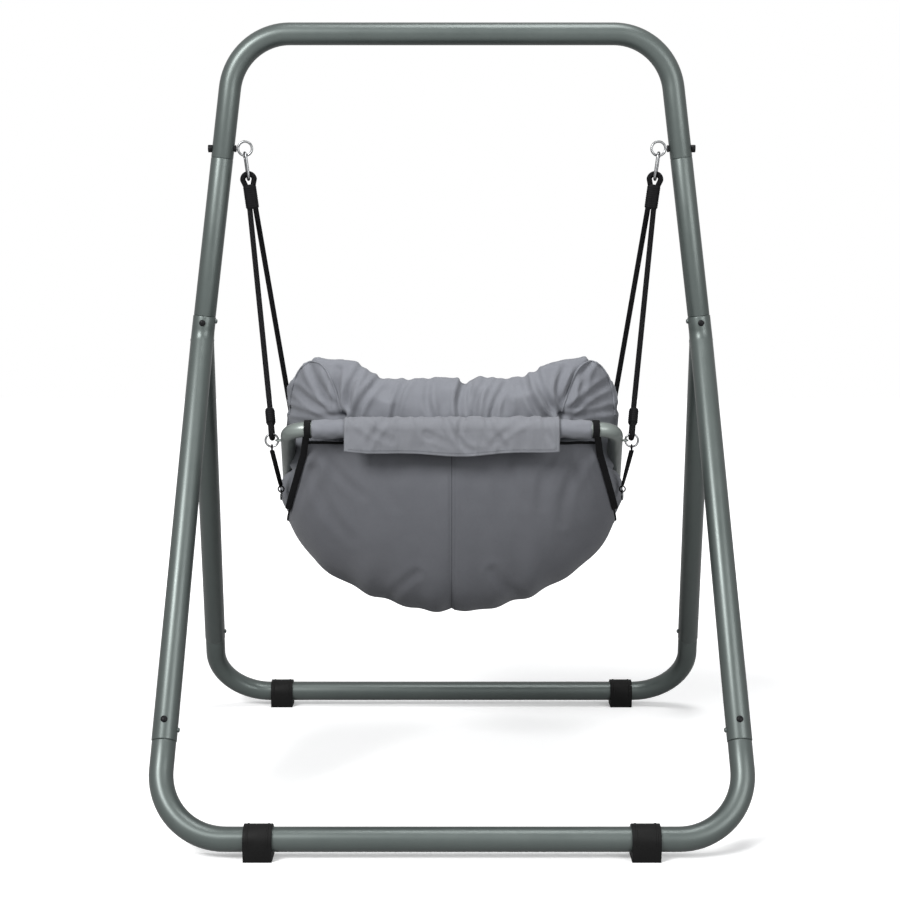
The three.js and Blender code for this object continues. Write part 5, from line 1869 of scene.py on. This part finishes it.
@dataclass
class Cushions:
    """The padded back with its two ears, the side bolsters and the seat pad.

    A swell gives the size of the even mesh, the pressure and the furthest move, in metres.
    """

    frame: SeatFrame
    sling: Sling
    thick: float = 92.0
    half: float = 287.0
    ear_height: float = 753.0
    plateau: float = 725.0
    foot: float = 462.0
    ear_start: float = 143.0
    ear_slope: float = 11.0
    ear_place: float = 214.0
    lean: float = 0.26
    back_place: float = -90.0
    foot_taper: float = 0.2
    side_sweep: float = 70.0
    ear_fall: float = 62.0
    seam_places: tuple[tuple[float, float], ...] = (
        (276, 650), (272, 684), (264, 712), (252, 731), (237, 741),
        (221, 740), (207, 727), (197, 706), (189, 684), (182, 662))
    piping: float = 1.7
    piping_lift: float = 0.5
    crease_scale: float = 1.2
    back_swell: tuple[float, float, float] = (0.005, 3.2, 0.009)
    small_swell: tuple[float, float, float] = (0.0058, 2.6, 0.006)
    back_fill: float = 0.55
    small_fill: float = 0.6
    side_start: float = 96.0
    side_end: float = 60.0
    side_inset: float = 34.0
    side_taper: float = 26.0
    side_radius: float = 52.0
    side_height: float = 54.0
    side_drop: float = 36.0
    side_bulge: float = 13.0
    pad_thick: float = 46.0
    pad_middle: float = 0.66
    pad_reach: float = 0.2
    pad_half: float = 0.5
    pad_lift: float = 4.6
    pad_gap: float = 1.0
    shrink: float = 2.0

    def back_top(self, x: float) -> float:
        """The height of the back cushion's top edge.

        Args:
            x: The place across.

        Returns:
            The height.
        """
        away = abs(x)
        ear = 1 / (1 + math.exp((self.ear_start - away) / self.ear_slope))
        fall = max(0.0, (away - self.ear_place) / (self.half - self.ear_place)) ** 2.4
        dent = 9.0 * hill(x, 24, 9) + 3.0 * hill(x, -112, 14)
        dent -= 3.0 * hill(x, 60, 20) + 3.0 * hill(x, -22, 30)
        return self.plateau + (self.ear_height - self.plateau) * ear - fall * self.ear_fall - dent

    def back_point(self, u: float, v: float, face: int, extra: float) -> Vector:
        """A point of the back cushion's skin.

        Args:
            u: The share across.
            v: The share up.
            face: -1 for the rear and 1 for the front.
            extra: How far the form is grown.

        Returns:
            The point, in millimetres.
        """
        x = u * (self.half + extra) * (1 - self.foot_taper * max(0.0, -v) ** 1.6)
        high, low = self.back_top(x) + extra, self.foot - extra
        z = low + (high - low) * (v + 1) / 2
        crown = (1 - abs(u) ** 3.6) ** 0.44 * (1 - abs(v) ** 2.4) ** 0.46
        y = self.back_place - (z - self.foot) * self.lean + self.side_sweep * abs(u) ** 2.5
        return Vector((x, y + face * (self.thick / 2 * crown + (extra if crown > 1e-6 else 0.0)), z))

    def grid(self, make: Callable[[float, float, int], Vector], rows: int, columns: int, name: str,
             even: bool = False) -> Piece:
        """A closed form from its two faces.

        Args:
            make: Gives a point from the shares across and up, from -1 to 1, and the face.
            rows: How many rows of points.
            columns: How many columns of points.
            name: The piece's name.
            even: Whether the points lie evenly, and not closer near the edges.

        Returns:
            The piece.
        """
        def share(k: int, count: int) -> float:
            """A share from -1 to 1."""
            plain = k / count * 2 - 1
            return plain if even else math.sin(math.pi / 2 * plain)

        faces = [[[make(share(j, columns), share(i, rows), face) for j in range(columns + 1)]
                  for i in range(rows + 1)] for face in (-1, 1)]
        return cloth_grid(name, faces[0], faces[1])

    def creases(self, point: Vector, normal: Vector) -> float:
        """The back cushion's wrinkles, which run to the ends of the flap.

        Args:
            point: A point of the skin, in millimetres.
            normal: The skin's direction there.

        Returns:
            The move outwards in millimetres.
        """
        move = noise.noise(point * 0.017) * 3.6 + noise.noise(point * 0.045) * 1.6
        gather = hill(point.z, 672, 36) * (1 if abs(point.x) < 178 else 0.35)
        fold = noise.noise(Vector((point.x * 0.05, point.z * 0.009, 2.0)))
        move += (fold * 5.5 - 0.4) * gather
        rear = 1.0 if normal.y < 0.25 else 0.25
        folds = sum(crease.at(point.x, point.z) for crease in BACK_CREASES)
        return move + rear * self.crease_scale * folds

    def complete(self, piece: Piece, node: str, swell: tuple[float, float, float], fill: float,
                 folds: Callable[[Vector, Vector], float], finer: bool = False, gap: float = 2.0) -> None:
        """Swells a cushion, folds its skin, keeps it in the bucket and dresses it.

        Args:
            piece: The cushion.
            node: The plain node that it stands for.
            swell: How it swells.
            fill: How full it is; not used.
            folds: Gives the skin's move outwards from a point and its normal.
            finer: Whether its mesh is divided once more.
            gap: How far inside the cloth its points stay, in millimetres.
        """
        plumped(piece, *swell)
        if finer:
            divided = piece.modifiers.new("finer", "SUBSURF")
            divided.levels = 1
            divided.render_levels = 1
            applied(piece, divided)
        displaced(piece, folds)
        self.sling.hold_in(piece, gap)
        piece.data.shade_smooth()
        CUSHION.dress(piece, SEAT, node)

    def build_back(self) -> None:
        """The back cushion with its ears, wrinkles and piping."""
        def make(u: float, v: float, face: int) -> Vector:
            """A point of the slimmer form before it swells."""
            return self.back_point(u, v, face, -self.shrink)

        piece = self.grid(make, 48, 90, "back_pad")
        self.complete(piece, "back_cushion", self.back_swell, self.back_fill, self.creases, finer=True)
        for hand in Hand:
            seam = [Vector((hand.sign * x, 0, z)) for x, z in self.seam_places]
            line = laid_on(piece, eased(seam, 8), self.piping_lift)
            CUSHION.dress(swept(f"back_piping_{hand.label}", line, self.piping, 10), SEAT)

    def build_side(self, hand: Hand) -> None:
        """One side bolster.

        Args:
            hand: The side.
        """
        start, end = self.side_start, self.frame.length - self.side_end

        def make(u: float, v: float, face: int) -> Vector:
            """A point: v along the rail, u round the upper or the lower half.

            Args:
                u: The share round.
                v: The share along.
                face: 1 for the upper half and -1 for the lower.

            Returns:
                The point.
            """
            share = (v + 1) / 2
            s = start + (end - start) * share
            swell = max(math.sin(math.pi * share), 0.0) ** 0.42
            inset = self.side_inset + self.side_taper * share
            centre = self.frame.at(hand.sign * (self.frame.half(s) - inset), s)
            centre.z -= self.side_drop
            turn = math.acos(max(-1.0, min(1.0, -u)))
            bulge = self.side_bulge * hill(s, 190, 75) * max(0.0, -math.cos(turn))
            tall = self.side_height if face < 0 else self.side_height * 0.74
            wide = (self.side_radius + bulge) * swell
            high = tall * swell * face
            return centre + Vector((-hand.sign * wide * math.cos(turn), 0, high * math.sin(turn)))

        def folds(point: Vector, _: Vector) -> float:
            """The bolster's lumps and its folds across."""
            lumps = noise.noise(point * 0.02) * 3.4 + noise.noise(point * 0.05) * 1.3
            return lumps + math.sin(point.y * 0.13 + noise.noise(point * 0.02) * 4) * 0.8

        piece = self.grid(make, 40, 30, f"side_bolster_{hand.label}")
        self.complete(piece, f"side_cushion_{hand.label}", self.small_swell, self.small_fill, folds)

    def build_pad(self) -> None:
        """The seat pad in the bottom of the sling."""
        def make(u: float, v: float, face: int) -> Vector:
            """A point of the pad."""
            t, q = self.pad_middle + self.pad_reach * v, self.pad_half * u * (1 - 0.1 * v * v)
            crown = (1 - u**4) ** 0.5 * (1 - v**4) ** 0.5
            rise = self.pad_lift + 4 * (1 - crown) + ((self.pad_thick - 3) * crown if face > 0 else 0.0)
            return self.sling.at(t, q) + self.sling.inward(t, q) * rise

        def folds(point: Vector, _: Vector) -> float:
            """The pad's lumps."""
            return noise.noise(point * 0.016) * 3.0 + noise.noise(point * 0.05) * 1.0

        piece = self.grid(make, 34, 44, "seat_pad")
        self.complete(piece, "seat_cushion", self.small_swell, self.small_fill, folds, gap=self.pad_gap)

    def build(self) -> None:
        """All four cushions."""
        self.build_back()
        for hand in Hand:
            self.build_side(hand)
        self.build_pad()


@dataclass
class Straps:
    """The black straps at the sides of the seat, with their small rings."""

    frame: SeatFrame
    sling: Sling
    width: float = 11.0
    thick: float = 2.2
    stand_off: float = 2.2
    loop_place: float = 236.5
    side_width: float = 8.0
    ring_radius: float = 8.0
    ring_wire: float = 2.8
    ring_out: float = 12.0
    ring_rise: float = 34.0
    loop_radius: float = 5.0
    loop_wire: float = 2.4
    bar_gap: float = 0.5
    tilt: tuple[float, float] = (0.0, 0.3)
    run_steps: int = 16
    side_steps: int = 24
    side_turn: float = 1.1
    edge_start: float = 0.03
    edge_reach: float = 0.27
    loop_steps: int = 36
    ring_share: float = 0.36

    def build_edge(self, hand: Hand) -> None:
        """The strap that loops round the rear bar and runs down the sling's edge.

        Args:
            hand: The side.
        """
        round_bar = self.frame.tube / 2 + self.bar_gap + self.thick / 2
        bar = self.frame.at(hand.sign * self.loop_place, 0)
        turns = [math.tau * k / self.loop_steps for k in range(self.loop_steps + 1)]
        loop = [bar + Vector((0, math.cos(turn), math.sin(turn))) * round_bar for turn in turns]
        name = f"edge_strap_{hand.label}"
        band = strap_band(f"{name}_loop", loop, [Vector((1, 0, 0))] * len(loop), self.width, self.thick)
        WEBBING.dress(band, SEAT, name)
        line = [bar - Vector((0, round_bar, 0))]
        for k in range(1, self.run_steps + 1):
            t = self.edge_start + self.edge_reach * k / self.run_steps
            off = self.sling.inward(t, hand.sign) * (self.thick / 2 + self.stand_off)
            line.append(self.sling.at(t, hand.sign) - off)
        path = eased(line, 3)
        ways = [Vector((hand.sign, *self.tilt))] * len(path)
        run = strap_band(f"{name}_run", path, ways, self.width, self.thick)
        WEBBING.dress(run, SEAT, name)

    def build_side(self, hand: Hand) -> None:
        """The short strap from the corner ring down to a small ring on the sling.

        Args:
            hand: The side.
        """
        corner = self.frame.ring_centres(hand)[Facing.REAR][1]
        low_wire = corner - Vector((0, 0, self.frame.ring_radius))
        ring = self.sling.at(self.ring_share, hand.sign)
        ring += Vector((hand.sign * self.ring_out, 0, self.ring_rise))
        small = wire_ring(f"side_ring_wire_{hand.label}", ring, Vector((1, 0, 0)),
                          self.ring_radius, self.ring_wire)
        ZINC.dress(small, SEAT, f"side_ring_{hand.label}")
        hold = self.loop_wire / 2 + GAP
        top = low_wire + Vector((0, 0, self.frame.ring_wire / 2 + hold - self.loop_radius))
        ring_top = ring + Vector((0, 0, self.ring_radius))
        low = ring_top + Vector((0, 0, self.loop_radius - self.ring_wire / 2 - hold))
        name = f"side_strap_{hand.label}"
        for label, centre, axis in (("upper", top, Vector((1, 0, 0))), ("lower", low, Vector((0, 1, 0)))):
            loop = wire_ring(f"{name}_{label}_loop", centre, axis, self.loop_radius, self.loop_wire)
            WEBBING.dress(loop, SEAT, name)
        reach = Vector((0, 0, self.loop_radius))
        shares = [k / self.side_steps for k in range(self.side_steps + 1)]
        path = [between(top - reach, low + reach, share) for share in shares]
        turns = [share * self.side_turn for share in shares]
        ways = [Vector((math.cos(turn), math.sin(turn), 0)) for turn in turns]
        band = strap_band(f"{name}_run", path, ways, self.side_width, self.thick)
        WEBBING.dress(band, SEAT, name)

    def build(self) -> None:
        """Both sides."""
        for hand in Hand:
            self.build_edge(hand)
            self.build_side(hand)


# Studio


@dataclass
class Studio:
    """The camera, the floor and the soft lights."""

    camera_at: tuple[float, float, float] = (-0.003, -2.804, 0.879)
    pitch: float = 6.1
    lens: float = 64.0
    floor_half: float = 9.0
    floor_glow: float = 0.32
    shadow_reach: float = 0.95
    shown_floor: float = 0.95
    bounce_floor: float = 0.28
    floor_gloss: float = 0.35
    world_gloss: float = 0.65
    world_light: float = 0.24
    target: tuple[float, float, float] = (0.0, 0.0, 0.6)

    def build_camera(self) -> None:
        """The camera at the photograph's angle."""
        data = bpy.data.cameras.new("camera")
        data.lens = self.lens
        data.sensor_width = 36.0
        data.sensor_fit = "HORIZONTAL"
        camera = bpy.data.objects.new("camera", data)
        camera.location = self.camera_at
        camera.rotation_euler = (math.radians(90 - self.pitch), 0, 0)
        bpy.context.scene.collection.objects.link(camera)
        bpy.context.scene.camera = camera

    def seen_share(self, sheet: Sheet, gloss: float) -> Socket:
        """How far a surface shows its bright side to a ray.

        Args:
            sheet: The node tree.
            gloss: The share for a ray that a glossy surface sends.

        Returns:
            The share: one for the camera and for rays through a surface, and none for soft light.
        """
        path = sheet.add("ShaderNodeLightPath")
        seen = sheet.math("MAXIMUM", path.outputs["Is Camera Ray"], path.outputs["Is Transmission Ray"])
        glossy = sheet.math("MULTIPLY", path.outputs["Is Glossy Ray"], gloss)
        return sheet.math("MAXIMUM", seen, glossy)

    def build_world(self) -> None:
        """An even pale world that the camera and gloss see as white."""
        world = bpy.data.worlds.new("studio")
        world.use_nodes = True
        sheet = Sheet(world.node_tree)
        out = sheet.add("ShaderNodeOutputWorld")
        soft = sheet.add("ShaderNodeBackground", Color=(0.96, 0.98, 1.0, 1.0),
                         Strength=self.world_light)
        white = sheet.add("ShaderNodeBackground", Color=(1.0, 1.0, 1.0, 1.0), Strength=1.0)
        seen = self.seen_share(sheet, self.world_gloss)
        mix = sheet.add("ShaderNodeMixShader")
        sheet.link(seen, mix.inputs["Fac"])
        sheet.link(soft.outputs["Background"], mix.inputs[1])
        sheet.link(white.outputs["Background"], mix.inputs[2])
        sheet.link(mix.outputs["Shader"], out.inputs["Surface"])
        bpy.context.scene.world = world

    def build_floor(self) -> None:
        """A wide pale floor that goes over to white and keeps a soft shadow."""
        bm = bmesh.new()
        bmesh.ops.create_grid(bm, x_segments=2, y_segments=2, size=self.floor_half)
        floor = mesh_object("floor", bm, None)
        material = bpy.data.materials.new("pale_floor")
        material.use_nodes = True
        sheet = Sheet(material.node_tree)
        out = sheet.add("ShaderNodeOutputMaterial")
        shown = sheet.add("ShaderNodeBsdfDiffuse", Color=(*[self.shown_floor] * 3, 1.0))
        plain = sheet.add("ShaderNodeBsdfDiffuse", Color=(*[self.bounce_floor] * 3, 1.0))
        glow = sheet.add("ShaderNodeEmission", Color=(1.0, 1.0, 1.0, 1.0))
        place = sheet.add("ShaderNodeTexCoord")
        far = sheet.add("ShaderNodeVectorMath", {"operation": "LENGTH"})
        sheet.link(place.outputs["Object"], far.inputs[0])
        rise = sheet.add("ShaderNodeMapRange", From_Min=self.shadow_reach, From_Max=2 * self.shadow_reach,
                         To_Min=self.floor_glow, To_Max=1.0)
        sheet.link(far.outputs["Value"], rise.inputs["Value"])
        sheet.link(rise.outputs["Result"], glow.inputs["Strength"])
        seen = self.seen_share(sheet, self.floor_gloss)
        bright = sheet.add("ShaderNodeAddShader")
        either = sheet.add("ShaderNodeMixShader")
        sheet.link(shown.outputs["BSDF"], bright.inputs[0])
        sheet.link(glow.outputs["Emission"], bright.inputs[1])
        sheet.link(seen, either.inputs["Fac"])
        sheet.link(plain.outputs["BSDF"], either.inputs[1])
        sheet.link(bright.outputs["Shader"], either.inputs[2])
        sheet.link(either.outputs["Shader"], out.inputs["Surface"])
        floor.data.materials.append(material)
        floor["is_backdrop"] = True

    def build_light(self, name: str, at: tuple[float, float, float], size: float, power: float) -> None:
        """One square soft lamp that faces the seat.

        Args:
            name: The lamp's name.
            at: Its place, in metres.
            size: Its side, in metres.
            power: Its power, in watts.
        """
        data = bpy.data.lights.new(name, "AREA")
        data.size = size
        data.energy = power
        lamp = bpy.data.objects.new(name, data)
        lamp.location = at
        lamp.rotation_mode = "QUATERNION"
        lamp.rotation_quaternion = (Vector(self.target) - Vector(at)).to_track_quat("-Z", "Y")
        bpy.context.scene.collection.objects.link(lamp)

    def build(self) -> None:
        """The whole studio."""
        bpy.context.scene.view_settings.view_transform = "Standard"
        self.build_camera()
        self.build_world()
        self.build_floor()
        self.build_light("key_lamp", (-1.9, -2.8, 2.7), 1.2, 142.0)
        self.build_light("fill_lamp", (2.2, -3.0, 1.7), 1.9, 62.0)
        self.build_light("top_lamp", (0.3, -0.5, 3.5), 1.2, 46.0)


def save_sizes(before: tuple[Vector, Vector]) -> None:
    """Works out the box of the plain model and of the dressed one, and then drops it.

    Args:
        before: The lowest and highest corner straight after loading.
    """
    rows = {"frame": [list(v) for v in before], "scene": [list(v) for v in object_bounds()]}


def main() -> None:
    """Builds the studio and the cradle in order, and reports each piece."""
    logging.basicConfig(level=logging.INFO, format="%(message)s")
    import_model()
    before = tuple(v.copy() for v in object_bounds())
    stand = Stand()
    frame = SeatFrame()
    sling = Sling(frame)
    parts = (Studio(), Hangers(stand, frame), stand, frame, sling, BarCloth(frame), Cushions(frame, sling),
             Straps(frame, sling))
    for part in parts:
        known = set(bpy.data.objects.keys())
        part.build()
        for name in sorted(set(bpy.data.objects.keys()) - known):
            LOG.info("%s: %s", type(part).__name__, name)
    save_sizes(before)


if __name__ == "__main__":
    main()
